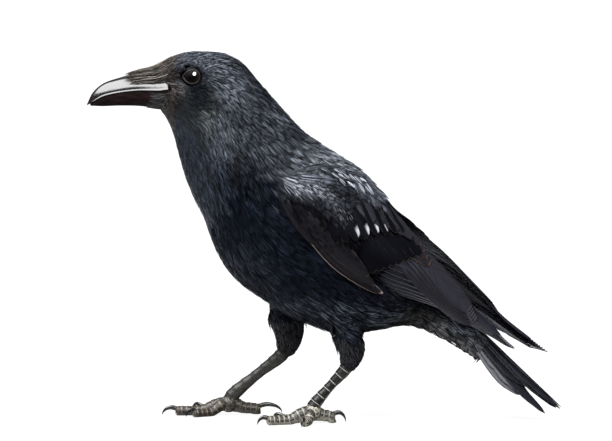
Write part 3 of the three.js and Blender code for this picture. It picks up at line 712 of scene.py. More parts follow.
@dataclass(frozen=True)
class Wing:
    """A folded wing: feathers in rows on a roof-shaped surface over the body."""

    name: str
    side: int
    tip: float
    rise: Curve
    hem: Curve
    crest: Curve
    lean: Curve
    roof: Spot = (-27.0, 176.0, 36.0)
    pad: Span = (-10.0, 108.0)
    shorter_tip: float = 209.0
    worn: float = 1.0
    # Painted light: how pale all but the primaries are painted, to lighten a wing that lies in shade.
    painted_light: float = 0.0
    # From and to where along it the feathers come free of the body.
    let_go: Span = (176.0, 194.0)

    def point(self, along: Array, angle: Array, lift: Array | float) -> Array:
        """Return places at a length along the roof, an angle round it in degrees and a lift off it."""
        slope = math.radians(self.roof[2])
        turn = np.radians(angle)
        height = (self.rise(along) + lift) * np.sin(turn)
        x = self.roof[0] + along * math.cos(slope) + height * math.sin(slope)
        y = self.side * (ROOF_HALF(along) + lift) * np.cos(turn)
        z = self.roof[1] - along * math.sin(slope) + height * math.cos(slope)
        return np.stack(np.broadcast_arrays(x, y, z), axis=-1)

    def angle(self, along: Array, level: Array | float) -> Array:
        """Return the angle round the roof at a share of the way from the hem to the crest."""
        return mix(self.hem(along), self.crest(along), np.minimum(1, level + self.lean(along)))

    def under(self, points: Array) -> tuple[Array, Array, Array]:
        """Find where points lie under the roof.

        Args:
            points: Places in millimetres.

        Returns:
            The length along the roof, and the shares from hem to crest and out to it.
        """
        slope = math.radians(self.roof[2])
        dx, dz = points[:, 0] - self.roof[0], points[:, 2] - self.roof[1]
        along = dx * math.cos(slope) - dz * math.sin(slope)
        height = dx * math.sin(slope) + dz * math.cos(slope)
        out = self.side * points[:, 1]
        a, b = height / self.rise(along), out / ROOF_HALF(along)
        angle = np.degrees(np.arctan2(a, b))
        level = (angle - self.hem(along)) / (self.crest(along) - self.hem(along))
        return along, level, np.hypot(a, b)

    def place(self, row: FeatherRow, index: int) -> Lay:
        """Return the function that lays one feather of a row.

        Args:
            row: Row of the feather.
            index: Its number in the row.

        Returns:
            A function from shares along and across, -1 to 1, and drop to places in millimetres.
        """
        share = index / (row.count - 1)
        root = [mix(row.roots[0][i], row.roots[1][i], share) for i in (0, 1)]
        end = [mix(row.tips[0][i], row.tips[1][i], share) for i in (0, 1)]
        slide = np.clip((end[0] - self.pad[1]) / (self.shorter_tip - self.pad[1]), 0, 1)
        reach = end[0] + (self.tip - self.shorter_tip) * slide
        spacing = max(1.0, abs(row.tips[1][0] - row.tips[0][0]) / (row.count - 1))

        def lay(along: Array, across: Array, drop: Array) -> Array:
            """Return places of the feather's surface."""
            s = mix(root[0], reach, along)
            angle = self.angle(s, mix(root[1], end[1], along))
            turn = np.radians(angle)
            radius = np.hypot(self.rise(s) * np.cos(turn), ROOF_HALF(s) * np.sin(turn))
            offset = across * vane_half(row.half, row.pointed, along) - row.bow * np.sin(math.pi * along)
            covered = np.minimum(row.count - 1 - index, np.maximum(0, reach - s) / spacing)
            lift = row.top(s) - row.step * covered - across * row.tilt + drop
            places = self.point(s, angle + np.degrees(offset / radius), lift)
            if row.clear is not None:
                body = BODY.outside(places.reshape(-1, 3)).reshape(places.shape[:-1])
                out = self.side * places[..., 1]
                held = 1 - fade(s, *self.let_go)
                places[..., 1] = self.side * mix(out, np.maximum(out, body + row.clear + lift), held)
            return places

        return lay


HEM_ROOT = ((-10, 2), (13, -8), (37, -18), (60, -27), (81, -34), (98, -36), (123, -26), (145, -13))
CREST_ROOT = ((-10, 22), (5, 44), (22, 62), (45, 76), (70, 84))
LEFT_WING = Wing(
    "left", -1, 209.0,
    Curve(((-20, 43), (28, 44.5), (53, 42.2), (65, 39.8), (76, 37.3), (88, 35.0), (100, 32.4), (124, 28),
           (147, 23.5), (170, 18.5), (190, 14), (209, 10))),
    Curve((*HEM_ROOT, (173, -3), (194, 16), (209, 24))),
    Curve((*CREST_ROOT, (100, 84), (120, 76), (140, 60), (164, 44), (185, 34), (209, 26))),
    Curve(((0, 0), (1, 0))),
)
RIGHT_WING = Wing(
    "right", 1, 232.0,
    Curve(((-20, 43), (28, 44.5), (53, 42), (65, 39), (76, 36.8), (90, 37.0), (100, 36.4), (124, 32.4),
           (147, 27.8), (170, 23.2), (190, 19), (210, 17), (232, 16.4))),
    Curve((*HEM_ROOT, (173, -4), (194, 12), (215, 40), (232, 74))),
    Curve((*CREST_ROOT, (100, 88), (120, 96), (140, 100), (164, 104), (185, 106), (210, 104), (232, 92))),
    Curve(((108, 0), (140, 0.05), (232, 0.0))),
    worn=0.0,
    painted_light=0.2,
)


def vane_half(half: float, pointed: float, share: Array) -> Array:
    """Return half the width of a vane along it: narrow at its root, rounded or pointed at its tip."""
    shoulder, neck, tip = mix(0.84, 0.66, pointed), mix(0.84, 0.45, pointed), mix(0.4, 0.08, pointed)
    return half * Curve(((0, 0.5), (0.4, 0.96), (shoulder, 1), (0.94, neck), (1, tip)))(share)


@dataclass
class Vane:
    """One flight feather or covert, ready to be drawn."""

    place: Lay
    length: float
    half: float
    ragged: float = 0.25
    # Painted light: how pale the vane is painted, from where along it, and on which web.
    pale: float = 0.0
    pale_from: float = 0.0
    pale_web: float = 0.0
    worn: float = 1.0

    def tone(self, along: Array, across: Array) -> Array:
        """Return how pale the vane is painted, as painted light: all over from a place along it, or on one
        web only.
        """
        web = fade(across * np.sign(self.pale_web), 0.0, 0.35) if self.pale_web else 1.0
        start = fade(along, self.pale_from, self.pale_from + 0.061) if self.pale_from else 1.0
        return self.pale * web * start


@dataclass
class VaneMaker:
    """Draws vanes: two faces that meet at a worn rim, with a raised shaft down the middle."""

    across: tuple[float, ...] = (-1.0, -0.72, -0.42, -0.13, 0.0, 0.13, 0.42, 0.72, 1.0)
    thick: float = 0.35
    shaft: float = 0.32
    camber: float = 0.25

    def notches(self, vane: Vane, along: Array, random: Random) -> Array:
        """Return how far each edge of a vane reaches, with the notches where its barbs have parted."""
        reach = np.ones((2, len(along)))
        for edge in (0, 1):
            reach[edge] += random.normal(0, 0.012, len(along))
            for _ in range(random.integers(1, 4)):
                spot = random.uniform(0.45, 0.97)
                deep = vane.ragged * random.uniform(0.3, 1.0)
                reach[edge] -= deep * np.clip(1 - np.abs(along - spot) / 0.022, 0, 1)
        return np.clip(reach, 0.35, 1.02)

    def draw(self, name: str, vanes: list[Vane], seed: int) -> Piece:
        """Draw a row of vanes as one piece.

        Args:
            name: Name of the piece.
            vanes: The vanes of the row.
            seed: Seed of the draws for their wear.

        Returns:
            The piece.
        """
        random = np.random.default_rng(seed)
        sides = np.array(self.across)
        points, quads, chart, real, bake, pale, rim = [], [], [], [], [], [], []
        start = 0
        for number, vane in enumerate(vanes):
            rows = int(np.clip(vane.length / 3.0, 14, 56))
            along = 1 - (1 - np.linspace(0, 1, rows)) ** 1.25
            reach = self.notches(vane, along, random)
            a, t = np.meshgrid(sides, along)
            edge = np.where(a < 0, reach[0][:, None], reach[1][:, None])
            fall = -self.camber * a**2
            shaft = self.shaft * np.clip(1 - np.abs(a) / 0.1, 0, 1) * (1 - 0.8 * t)
            upper = vane.place(t, a * edge, fall + shaft)
            inner = slice(1, -1)
            body = self.thick * (1 - a**2) * np.clip(6 * (1 - t), 0, 1)
            lower = vane.place(t, a * edge, fall - body)[inner, inner]
            columns = len(sides)
            top = np.arange(rows * columns).reshape(rows, columns) + start
            base = top.copy()
            base[inner, inner] = np.arange(lower[..., 0].size).reshape(lower.shape[:2]) + start + top.size
            half_way = (np.array([0.5, 0.5]), np.array([0.0, 0.0]))
            low, high = vane.place(*half_way, np.array([0.0, 1.0]))
            corner = np.stack([upper[1, 4] - upper[0, 4], upper[1, -1] - upper[1, 0], high - low])
            flip = np.linalg.det(corner) > 0
            for grid, turned in ((top, flip), (base, not flip)):
                a0, a1 = grid[:-1, :-1].ravel(), grid[:-1, 1:].ravel()
                b0, b1 = grid[1:, :-1].ravel(), grid[1:, 1:].ravel()
                quads.append(np.stack([a0, b0, b1, a1] if turned else [a0, a1, b1, b0], axis=1))
            points += [upper.reshape(-1, 3), lower.reshape(-1, 3)]
            wide = a * 0.5 + 0.5
            for first, second, keep in (
                (wide, t, chart),
                (a * vane.half / 10, t * vane.length / 10, real),
                ((number + 0.06 + 0.88 * wide) / len(vanes), 0.01 + 0.98 * t, bake),
            ):
                values = np.stack([first, second], axis=-1)
                keep += [values.reshape(-1, 2), values[inner, inner].reshape(-1, 2)]
            tone = vane.tone(t, a) * np.ones_like(t)
            pale += [tone.ravel(), tone[inner, inner].ravel()]
            rim += [np.full(upper[..., 0].size + lower[..., 0].size, vane.worn)]
            start += upper[..., 0].size + lower[..., 0].size
        return mesh_from(
            name,
            np.concatenate(points),
            np.concatenate(quads),
            np.zeros((0, 3), dtype=int),
            {"Vane": np.concatenate(chart), "Barb": np.concatenate(real), "OFBake": np.concatenate(bake)},
            {"pale": np.concatenate(pale), "rim": np.concatenate(rim)},
        )


# ---- small feathers ----


@dataclass
class Track:
    """The ground under a crowd of small feathers: places, normals and side ways from root to tip."""

    places: Array
    normals: Array
    sides: Array

    @classmethod
    def over(cls, places: Array, above: Array) -> "Track":
        """Return the ground through places, from root to tip, given the places right above them."""
        normals = unit(above - places)
        return cls(places, normals, np.cross(unit(np.gradient(places, axis=1)), normals))

    def at(self, share: Array) -> tuple[Array, Array, Array]:
        """Read the ground at shares of each feather's length.

        Args:
            share: Shares in an array whose first axis is the feathers.

        Returns:
            Places, normals and side ways, each with one more axis.
        """
        last = self.places.shape[1] - 1
        spot = np.clip(share, 0, 1) * last
        low = np.minimum(spot.astype(int), last - 1)
        part = (spot - low)[..., None]
        rows = np.arange(len(share)).reshape(-1, *([1] * (share.ndim - 1)))
        kept = (self.places, self.normals, self.sides)
        place, normal, side = (a[rows, low] * (1 - part) + a[rows, low + 1] * part for a in kept)
        return place, unit(normal), unit(side)


@dataclass(frozen=True)
class TuftShape:
    """How a small feather parts into blades of barbs, and how these spread, rise and taper."""

    blades: int
    spread: Curve
    rounded: float
    rise: Curve
    loose: float
    dome: float = 0.22
    overlap: float = 1.5
    thick: float = 0.22
    rings: tuple[float, ...] = (0.0, 0.42, 0.78, 1.0)
    taper: tuple[float, ...] = (0.7, 1.0, 0.8, 0.0)


FACES_4 = np.array(
    [[3 * r + i for i in face] for r in (0, 1) for face in ((0, 3, 4, 1), (1, 4, 5, 2), (2, 5, 3, 0))]
)
FACES_3 = np.array([[0, 1, 2], [6, 9, 7], [7, 9, 8], [8, 9, 6]])
BLADE_POINTS = 10
BAKE_PATCH = 0.003


def draw_tufts(
    name: str, shape: TuftShape, track: Track, halves: Array, lifts: Array, tones: Array, unwrap: Array,
    random: Random,
) -> Piece:
    """Draw a crowd of small feathers as one piece.

    Args:
        name: Name of the piece.
        shape: Shape that they share.
        track: Ground under each feather.
        halves: Half of each feather's width.
        lifts: Height of each feather's tip over the ground.
        tones: How much painted sheen each feather has, up to 1, and below 0 how much painted shade dulls it;
            on the bristles these are random.
        unwrap: Place of each root on the unwrap of the skin.
        random: Source of the draws.

    Returns:
        The piece.
    """
    count, blades = len(halves), shape.blades
    lateral = np.linspace(-1, 1, blades) * (1 - 0.5 / blades) if blades > 1 else np.zeros(1)
    lateral = lateral[None, :] + random.normal(0, 0.35 / blades, (count, blades))
    reach = 1 - shape.rounded * np.abs(lateral) ** 2.2 + random.normal(0, 0.05, (count, blades))
    reach = np.clip(reach, 0.4, 1.06)
    share = np.array(shape.rings)[None, None, :] * reach[:, :, None]
    centre, normal, side = track.at(share)
    wide = halves[:, None, None]
    aside = lateral[:, :, None] * wide * shape.spread(share)
    aside = aside + random.normal(0, shape.loose, (count, blades, 1)) * share**2
    lift = lifts[:, None, None] * (shape.rise(share) + random.normal(0, 0.07, (count, blades, 1)) * share)
    lift = lift - shape.dome * np.abs(lateral[:, :, None]) ** 2 * wide * share
    spine = centre + side * aside[..., None] + normal * lift[..., None]
    half = wide / blades * shape.overlap * np.array(shape.taper)[None, None, :]
    half = half * random.uniform(0.75, 1.2, (count, blades, 1))
    thick = np.minimum(shape.thick, half * 0.7)
    roll = random.uniform(-0.8, 0.8, (count, blades, 1)) * half
    left = spine - side * half[..., None]
    right = spine + side * half[..., None]
    ridge = spine + normal * thick[..., None] + side * roll[..., None]
    rows = np.stack([left, right, ridge], axis=3)[:, :, :3].reshape(count, blades, 9, 3)
    points = np.concatenate([rows, spine[:, :, 3:4]], axis=2).reshape(-1, 3)
    starts = np.arange(count * blades)[:, None, None] * BLADE_POINTS
    quads = (FACES_4[None] + starts).reshape(-1, 4)
    tris = (FACES_3[None] + starts).reshape(-1, 3)
    along = np.concatenate([np.repeat(share[:, :, :3], 3, axis=2), share[:, :, 3:4]], axis=2)
    u = np.repeat(0.5 + 0.5 * np.clip(lateral, -1, 1)[:, :, None], BLADE_POINTS, axis=2)
    chart = np.stack([u, np.clip(along, 0, 1)], axis=-1)
    bake = unwrap[:, None, None, :] + (chart - 0.5) * BAKE_PATCH
    strand = np.repeat(random.uniform(0, 1, (count, blades, 1)), BLADE_POINTS, axis=2)
    whole = np.repeat(np.repeat(random.uniform(0, 1, (count, 1, 1)), blades, axis=1), BLADE_POINTS, axis=2)
    pale_and_painted_sheen = np.repeat(np.repeat(tones[:, None, None], blades, axis=1), BLADE_POINTS, axis=2)
    return mesh_from(
        name,
        points,
        quads,
        tris,
        {"Vane": chart.reshape(-1, 2), "OFBake": bake.reshape(-1, 2)},
        {"strand": (0.7 * strand + 0.3 * whole).ravel(), "tone": pale_and_painted_sheen.ravel()},
    )


class Tract(Enum):
    """A part of the coat, which is one piece with one finish."""

    FACE = "face"
    CROWN = "crown"
    CHEEK = "cheek"
    NECK = "neck"
    THROAT = "throat"
    BREAST = "breast"
    BACK = "back"
    BELLY = "belly"
    RUMP = "rump"
    VENT = "vent"
    THIGH = "thighs"


SOFT = Curve(((0, 0.35), (0.5, 0.95), (1, 0.85)))
LANCE = Curve(((0, 0.4), (0.4, 1.0), (1, 0.6)))
LOW_RISE = Curve(((0, -0.25), (0.35, 0.48), (1, 1.05)))

TRACT_SHAPES = {
    Tract.FACE: TuftShape(2, LANCE, 0.2, LOW_RISE, 0.12, overlap=1.2),
    Tract.CROWN: TuftShape(3, SOFT, 0.3, LOW_RISE, 0.25, overlap=1.2),
    Tract.CHEEK: TuftShape(4, SOFT, 0.25, LOW_RISE, 0.3, overlap=1.1),
    Tract.NECK: TuftShape(7, LANCE, 0.35, LOW_RISE, 0.7, overlap=1.15),
    Tract.THROAT: TuftShape(6, LANCE, 0.4, LOW_RISE, 0.7, overlap=1.15),
    Tract.BREAST: TuftShape(11, SOFT, 0.3, LOW_RISE, 0.9, overlap=1.25),
    Tract.BACK: TuftShape(12, SOFT, 0.28, LOW_RISE, 0.7, overlap=1.25),
    Tract.BELLY: TuftShape(10, SOFT, 0.25, LOW_RISE, 1.3, overlap=1.2),
    Tract.RUMP: TuftShape(12, SOFT, 0.3, LOW_RISE, 0.5, overlap=1.25),
    Tract.VENT: TuftShape(14, SOFT, 0.25, LOW_RISE, 0.25, 0.12, 1.6),
    Tract.THIGH: TuftShape(5, SOFT, 0.3, LOW_RISE, 0.6, overlap=1.2),
}

TRACT_FINISHES = {
    Tract.FACE: PlumageFinish("lore_feather", "131011", "453f3e", "403a38", 0.5, 0.5, "f4ece8", "968d8a"),
    Tract.CROWN: PlumageFinish("crown_feather", "0b0c10", "2c3137", "2a2d32", 0.42, 0.6),
    Tract.CHEEK: PlumageFinish("ear_feather", "0b0c10", "2b3135", "2c3134", 0.45, 0.8, "dde4ea", "949b9d"),
    Tract.NECK: PlumageFinish("hackle_feather", "07080c", "282d35", "25282e", 0.42, 0.65),
    Tract.THROAT: PlumageFinish("throat_hackle", "050609", "3d4656", "363d4a", 0.36, 1.0, pale_and_painted_sheen="bccadf"),
    Tract.BREAST: PlumageFinish("breast_feather", "05070c", "161e2c", "141a24", 0.5, 0.28, "bccdf0"),
    Tract.BACK: PlumageFinish("mantle_feather", "0a0b0f", "363a41", "36393f", 0.4, 0.85, pale_and_painted_sheen="a4abb5"),
    Tract.BELLY: PlumageFinish("belly_feather", "05060a", "161b27", "181b24", 0.55, 0.25, "bccdf0"),
    Tract.RUMP: PlumageFinish("rump_feather", "06070b", "1a1c24", "1a1b22", 0.45, 0.4),
    # Painted fill light: the vent feathers are lighter and greyer than the belly's, for light that reaches
    # this underside from below.
    Tract.VENT: PlumageFinish("vent_feather", "0d0c0d", "3a3a3d", "404042", 0.55, 0.16, "e8e8ea", "66676a"),
    # Painted fill light: the thigh feathers are lighter than the belly's, where the thighs lie in shade under
    # the body.
    Tract.THIGH: PlumageFinish("thigh_feather", "121214", "3a3b3e", "38393c", 0.5, 0.4, "e6e8ee"),
}


# Where each tract lies, later rows over earlier ones: from and to along the stations, and up the side.
TRACT_PLACES = (
    (Tract.CHEEK, 1.7, math.inf, -math.inf, math.inf), (Tract.CROWN, 1.2, math.inf, 0.66, math.inf),
    (Tract.THROAT, 1.6, math.inf, -math.inf, 0.3), (Tract.NECK, 4.6, math.inf, -math.inf, math.inf),
    (Tract.THROAT, 4.6, 7.6, -math.inf, 0.42), (Tract.BREAST, 7.0, math.inf, -math.inf, 0.62),
    (Tract.BACK, 7.3, math.inf, 0.62, math.inf), (Tract.BELLY, 10.6, math.inf, -math.inf, 0.55),
    (Tract.VENT, 13.0, math.inf, -math.inf, 0.5), (Tract.RUMP, 12.2, math.inf, 0.5, math.inf),
)


@dataclass(frozen=True)
class PaintedLightPatch:
    """A patch of painted light on the coat: painted sheen where amount is above 0, and painted shade where it
    is below 0.
    """

    x: float
    z: float
    wide: float
    tall: float
    amount: float

    def at(self, points: Array) -> Array:
        """Return how much of the patch lies at each place."""
        x, z = (points[:, 0] - self.x) / self.wide, (points[:, 2] - self.z) / self.tall
        return self.amount * np.exp(-(x**2) - z**2)


# Painted light: each row is x, z, width, height and amount of a patch of painted sheen, or with a negative
# amount of painted shade.
PAINTED_LIGHT_PATCHES = tuple(PaintedLightPatch(*row) for row in (
    (-92.0, 279.0, 30.0, 8.0, 0.3), (-93.0, 274.0, 14.0, 3.5, 0.3), (-68.0, 270.0, 15.0, 9.0, 0.3),
    (-73.0, 254.0, 13.0, 11.0, 0.85), (-84.0, 245.0, 8.0, 4.0, -0.3), (-95.0, 255.0, 9.0, 7.0, -0.75),
    (-113.5, 266.5, 6.5, 3.5, -0.95), (-112.0, 258.5, 7.0, 5.5, 0.5), (-98.0, 245.0, 9.0, 6.0, -0.4),
    (-115.0, 244.0, 4.5, 5.0, -0.5), (-88.0, 233.0, 10.0, 9.0, 0.45), (-78.0, 224.0, 10.0, 10.0, 0.42),
    (-78.0, 207.0, 12.0, 10.0, 0.3), (-72.0, 182.0, 14.0, 20.0, -0.85), (-60.0, 273.0, 10.0, 8.0, -0.5),
    (-44.0, 259.0, 6.0, 6.0, -0.4), (-25.0, 240.0, 7.0, 5.0, -0.35), (-37.0, 236.0, 14.0, 11.0, 0.5),
    (-97.0, 208.0, 8.0, 30.0, -0.2), (-8.0, 203.0, 28.0, 10.0, 0.85), (20.0, 195.0, 16.0, 10.0, 0.85),
    (-34.0, 203.0, 6.0, 5.0, -0.4), (61.0, 152.0, 26.0, 18.0, 1.1), (-50.0, 215.0, 16.0, 16.0, 0.12),
    (-62.0, 124.0, 16.0, 12.0, 0.15), (-20.0, 92.0, 40.0, 6.0, 0.3), (30.0, 82.0, 28.0, 9.0, 0.35),
    (92.0, 74.0, 16.0, 11.0, 0.95), (110.0, 62.0, 12.0, 9.0, 0.6), (114.0, 52.0, 8.0, 6.0, 0.5),
))


@dataclass
class Coat:
    """The feathers of head, neck, body and thighs, laid over the skin along the body."""

    body: Body
    thighs: tuple[Thigh, ...]
    wings: tuple[Wing, ...]
    eye: Spot
    gape: Span = (-118.5, 256.0)
    seed: int = 11
    stations: int = 5
    lower_length: Curve = Curve(
        ((0, 4.5), (1.5, 7.5), (3, 13), (5, 18), (7, 22), (9, 24), (11, 23), (12.5, 17), (13.6, 15), (15, 14),
         (18, 7))
    )
    upper_length: Curve = Curve(
        ((0, 4.5), (1.5, 6.0), (3, 9.5), (5, 15), (7, 20), (9, 24), (12, 27), (18, 34))
    )
    half_width: Curve = Curve(
        ((0, 0.7), (1.5, 0.78), (3, 0.98), (5, 1.5), (7, 2.6), (9, 3.9), (12, 4.4), (14, 5.0), (15.5, 6.5),
         (18, 7.0))
    )
    depth: Curve = Curve(
        ((0, 0.8), (1.5, 1.1), (3, 1.8), (5, 2.6), (7, 3.4), (9, 4.0), (12, 4.0), (15, 2.4), (18, 0.9))
    )
    # Length, half width and tip height on the thighs, and close to the eye.
    thigh_size: Spot = (7.5, 1.7, 1.5)
    eye_size: Spot = (2.6, 0.6, 0.7)
    eye_reach: Span = (9.0, 17.0)
    # Longer, flatter feathers on the belly, and a raised nape: how much, where and how far round it.
    fluff: tuple[float, float, float, float] = (5.0, -2.4, 12.2, 1.0)
    nape: Spot = (0.8, 4.8, 1.8)
    # What a folded wing hides: from and to along it and from hem to crest, and how far in from it.
    under_wing: tuple[float, float, float, float, float] = (8, 118, 0.14, 0.93, 0.3)
    lid_reach: float = 6.7
    mouth_reach: float = 3.4
    tried: float = 4.5

    def thigh_share(self, points: Array) -> tuple[Array, Array]:
        """Return how far points belong to either thigh, and the way of its feathers."""
        both = [thigh.near(points) for thigh in self.thighs]
        nearer = both[0][0] >= both[1][0]
        return np.where(nearer, both[0][0], both[1][0]), np.where(nearer[:, None], both[0][1], both[1][1])

    def skin_depth(self, points: Array) -> Array:
        """Return how deep the skin lies under the coat's outside."""
        u, _ = self.body.locate(points)
        share, _ = self.thigh_share(points)
        return mix(self.depth(u), self.thigh_size[2], share)

    def flow(self, points: Array, u: Array, v: Array) -> Array:
        """Return the way that the feathers point."""
        share, way = self.thigh_share(points)
        return unit(mix(self.body.flow(u, v), way, share[:, None]))

    def near_side(self, points: Array) -> Array:
        """Return points mirrored to one side of the body, where the eye is."""
        return np.stack([points[:, 0], np.abs(points[:, 1]), points[:, 2]], axis=1)

    def sizes(self, points: Array, u: Array, v: Array) -> tuple[Array, Array, Array]:
        """Return the length, half width and tip height of a feather rooted at each place."""
        share, _ = self.thigh_share(points)
        length = mix(self.lower_length(u), self.upper_length(u), fade(v, 0.35, 0.7))
        half, lift = self.half_width(u), self.depth(u)
        small = 1 - fade(np.linalg.norm(self.near_side(points) - np.array(self.eye), axis=1), *self.eye_reach)
        length, half, lift = (mix(a, b, small) for a, b in zip((length, half, lift), self.eye_size))
        longer, lower, where, reach = self.fluff
        fluff = np.exp(-(((u - where) / reach) ** 2)) * fade(0.3 - v, 0.0, 0.15)
        length, lift = length + longer * fluff, lift + lower * fluff
        higher, where, reach = self.nape
        lift = lift + higher * np.exp(-(((u - where) / reach) ** 2)) * fade(v, 0.7, 0.9)
        fold = self.thigh_size
        near = fade(share, 0.0, 0.5)
        return mix(length, fold[0], near), mix(half, fold[1], near), mix(lift, fold[2], share)

    def tract(self, points: Array, u: Array, v: Array, random: Random) -> Array:
        """Sort roots into tracts, with borders that run into one another."""
        a = u + random.normal(0, 0.22, len(u))
        b = v + random.normal(0, 0.05, len(v))
        share, _ = self.thigh_share(points)
        names = np.full(len(u), Tract.FACE, dtype=object)
        for tract, first, last, low, high in TRACT_PLACES:
            names[(a > first) & (a < last) & (b > low) & (b < high)] = tract
        names[share > 0.5] = Tract.THIGH
        return names

    def hidden(self, points: Array) -> Array:
        """Tell which roots lie under a folded wing, inside the eyelids or over the corner of the mouth."""
        first, last, low, high, deep = self.under_wing
        covered = np.zeros(len(points), dtype=bool)
        for wing in self.wings:
            along, level, out = wing.under(points)
            own = points[:, 1] * wing.side > 0
            covered |= own & (along > first) & (along < last) & (level > low) & (level < high) & (out > deep)
        mirrored = self.near_side(points)
        flat = (mirrored - np.array(self.eye))[:, [0, 2]]
        covered |= (np.hypot(flat[:, 0], flat[:, 1]) < self.lid_reach) & (mirrored[:, 1] > 9)
        covered |= (points[:, 0] < self.gape[0]) & (np.abs(points[:, 2] - self.gape[1]) < self.mouth_reach)
        return covered

    def scatter(self, skin: Piece, random: Random) -> tuple[Array, Array, Array]:
        """Choose roots all over the skin, as close as its feathers are wide.

        Args:
            skin: The skin.
            random: Source of the draws.

        Returns:
            Places in millimetres, face normals and places on the skin's unwrap.
        """
        mesh = skin.data
        mesh.calc_loop_triangles()
        corners, loops = np.empty((2, len(mesh.loop_triangles) * 3), dtype=np.int64)
        mesh.loop_triangles.foreach_get("vertices", corners)
        mesh.loop_triangles.foreach_get("loops", loops)
        corners, loops = corners.reshape(-1, 3), loops.reshape(-1, 3)
        chart = np.empty(len(mesh.loops) * 2)
        mesh.uv_layers["OFBake"].uv.foreach_get("vector", chart)
        chart = chart.reshape(-1, 2)
        points = points_of(mesh) / MM
        normals = normals_of(mesh)
        tri = points[corners]
        area = 0.5 * np.linalg.norm(np.cross(tri[:, 1] - tri[:, 0], tri[:, 2] - tri[:, 0]), axis=1)
        middle = tri.mean(axis=1)
        u, v = self.body.locate(middle)
        _, half, _ = self.sizes(middle, u, v)
        gap = 0.95 * half + 0.25
        weight = area / gap**2 * ~self.hidden(middle)
        total = int(weight.sum() * self.tried)
        chosen = random.choice(len(area), size=total, p=weight / weight.sum())
        cut = np.sort(random.uniform(0, 1, (total, 2)), axis=1)
        part = np.stack([cut[:, 0], cut[:, 1] - cut[:, 0], 1 - cut[:, 1]], axis=1)[..., None]
        roots = (tri[chosen] * part).sum(axis=1)
        upright = unit((normals[corners[chosen]] * part).sum(axis=1))
        unwrap = (chart[loops[chosen]] * part).sum(axis=1)
        tree = KDTree(total)
        for i, root in enumerate(roots):
            tree.insert(root, i)
        tree.balance()
        free = np.ones(total, dtype=bool)
        kept = []
        for i, root in enumerate(roots):
            if free[i]:
                kept.append(i)
                for _, j, _ in tree.find_range(root, gap[chosen[i]]):
                    free[j] = False
        return roots[kept], upright[kept], unwrap[kept]

    def walk(self, skin: Piece, roots: Array, normals: Array, lengths: Array, random: Random) -> Track:
        """Follow the skin from each root to where its tip will lie.

        Args:
            skin: The skin.
            roots: Places of the roots.
            normals: Skin normals there.
            lengths: Length of each feather.
            random: Source of the draws.

        Returns:
            The ground under the feathers.
        """
        points = points_of(skin.data) / MM
        faces = [tuple(p.vertices) for p in skin.data.polygons]
        tree = BVHTree.FromPolygons([Vector(p) for p in points], faces)
        smooth = normals_of(skin.data)
        face_normals = unit(np.array([smooth[list(f)].sum(axis=0) for f in faces]))
        place, upright = roots.copy(), normals.copy()
        turn = random.normal(0, math.radians(7), len(roots))
        way = None
        rows: list[tuple[Array, Array, Array]] = []
        for step in range(self.stations):
            u, v = self.body.locate(place)
            flow = self.flow(place, u, v)
            flow = unit(flow - upright * (flow * upright).sum(axis=1, keepdims=True))
            side = np.cross(flow, upright)
            aimed = unit(flow * np.cos(turn)[:, None] + side * np.sin(turn)[:, None])
            way = aimed if way is None else unit(0.4 * way + 0.6 * aimed)
            way = unit(way - upright * (way * upright).sum(axis=1, keepdims=True))
            rows.append((place.copy(), upright.copy(), np.cross(way, upright)))
            if step == self.stations - 1:
                break
            ahead = place + way * (lengths / (self.stations - 1))[:, None]
            for i, spot in enumerate(ahead):
                found, _, face, _ = tree.find_nearest(spot)
                place[i] = found
                upright[i] = face_normals[face]
        return Track(*(np.stack([row[i] for row in rows], axis=1) for i in range(3)))

    def grow(self, skin: Piece) -> dict[Tract, Piece]:
        """Lay the whole coat over the skin.

        Args:
            skin: The skin.

        Returns:
            One piece for each tract.
        """
        random = np.random.default_rng(self.seed)
        roots, normals, unwrap = self.scatter(skin, random)
        u, v = self.body.locate(roots)
        length, half, lift = self.sizes(roots, u, v)
        length = length * random.normal(1.0, 0.08, len(length))
        track = self.walk(skin, roots, normals, length, random)
        tracts = self.tract(roots, u, v, random)
        tips = track.places[:, self.stations // 2]
        # Painted sheen and painted shade: each feather takes its tone from the painted light patches at its
        # tip.
        tone = sum(pale_and_painted_sheen.at(tips) for pale_and_painted_sheen in PAINTED_LIGHT_PATCHES) * random.uniform(0.7, 1.3, len(roots))
        tone = np.clip(tone, -1, 1)
        pieces = {}
        for tract in Tract:
            own = tracts == tract
            if not own.any():
                continue
            ground = Track(track.places[own], track.normals[own], track.sides[own])
            pieces[tract] = draw_tufts(
                f"coat_{tract.value}", TRACT_SHAPES[tract], ground, half[own], lift[own], tone[own],
                unwrap[own], random,
            )
            LOG.info("coat_%s: %d feathers", tract.value, own.sum())
        return pieces


# ---- the crow ----


def dress(piece: Piece, material: Material, slot: str, *nodes: str) -> Piece:
    """Finish a piece and tie it to the frame.

    Args:
        piece: The piece.
        material: Its finish.
        slot: Slot of the record that it belongs to; not used.
        *nodes: CAD nodes that it stands for.

    Returns:
        The piece.
    """
    piece.data.materials.clear()
    piece.data.materials.append(material)
    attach(piece, "root")
    if nodes:
        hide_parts(*nodes)
    LOG.info("%s: %d faces", piece.name, len(piece.data.polygons))
    return piece


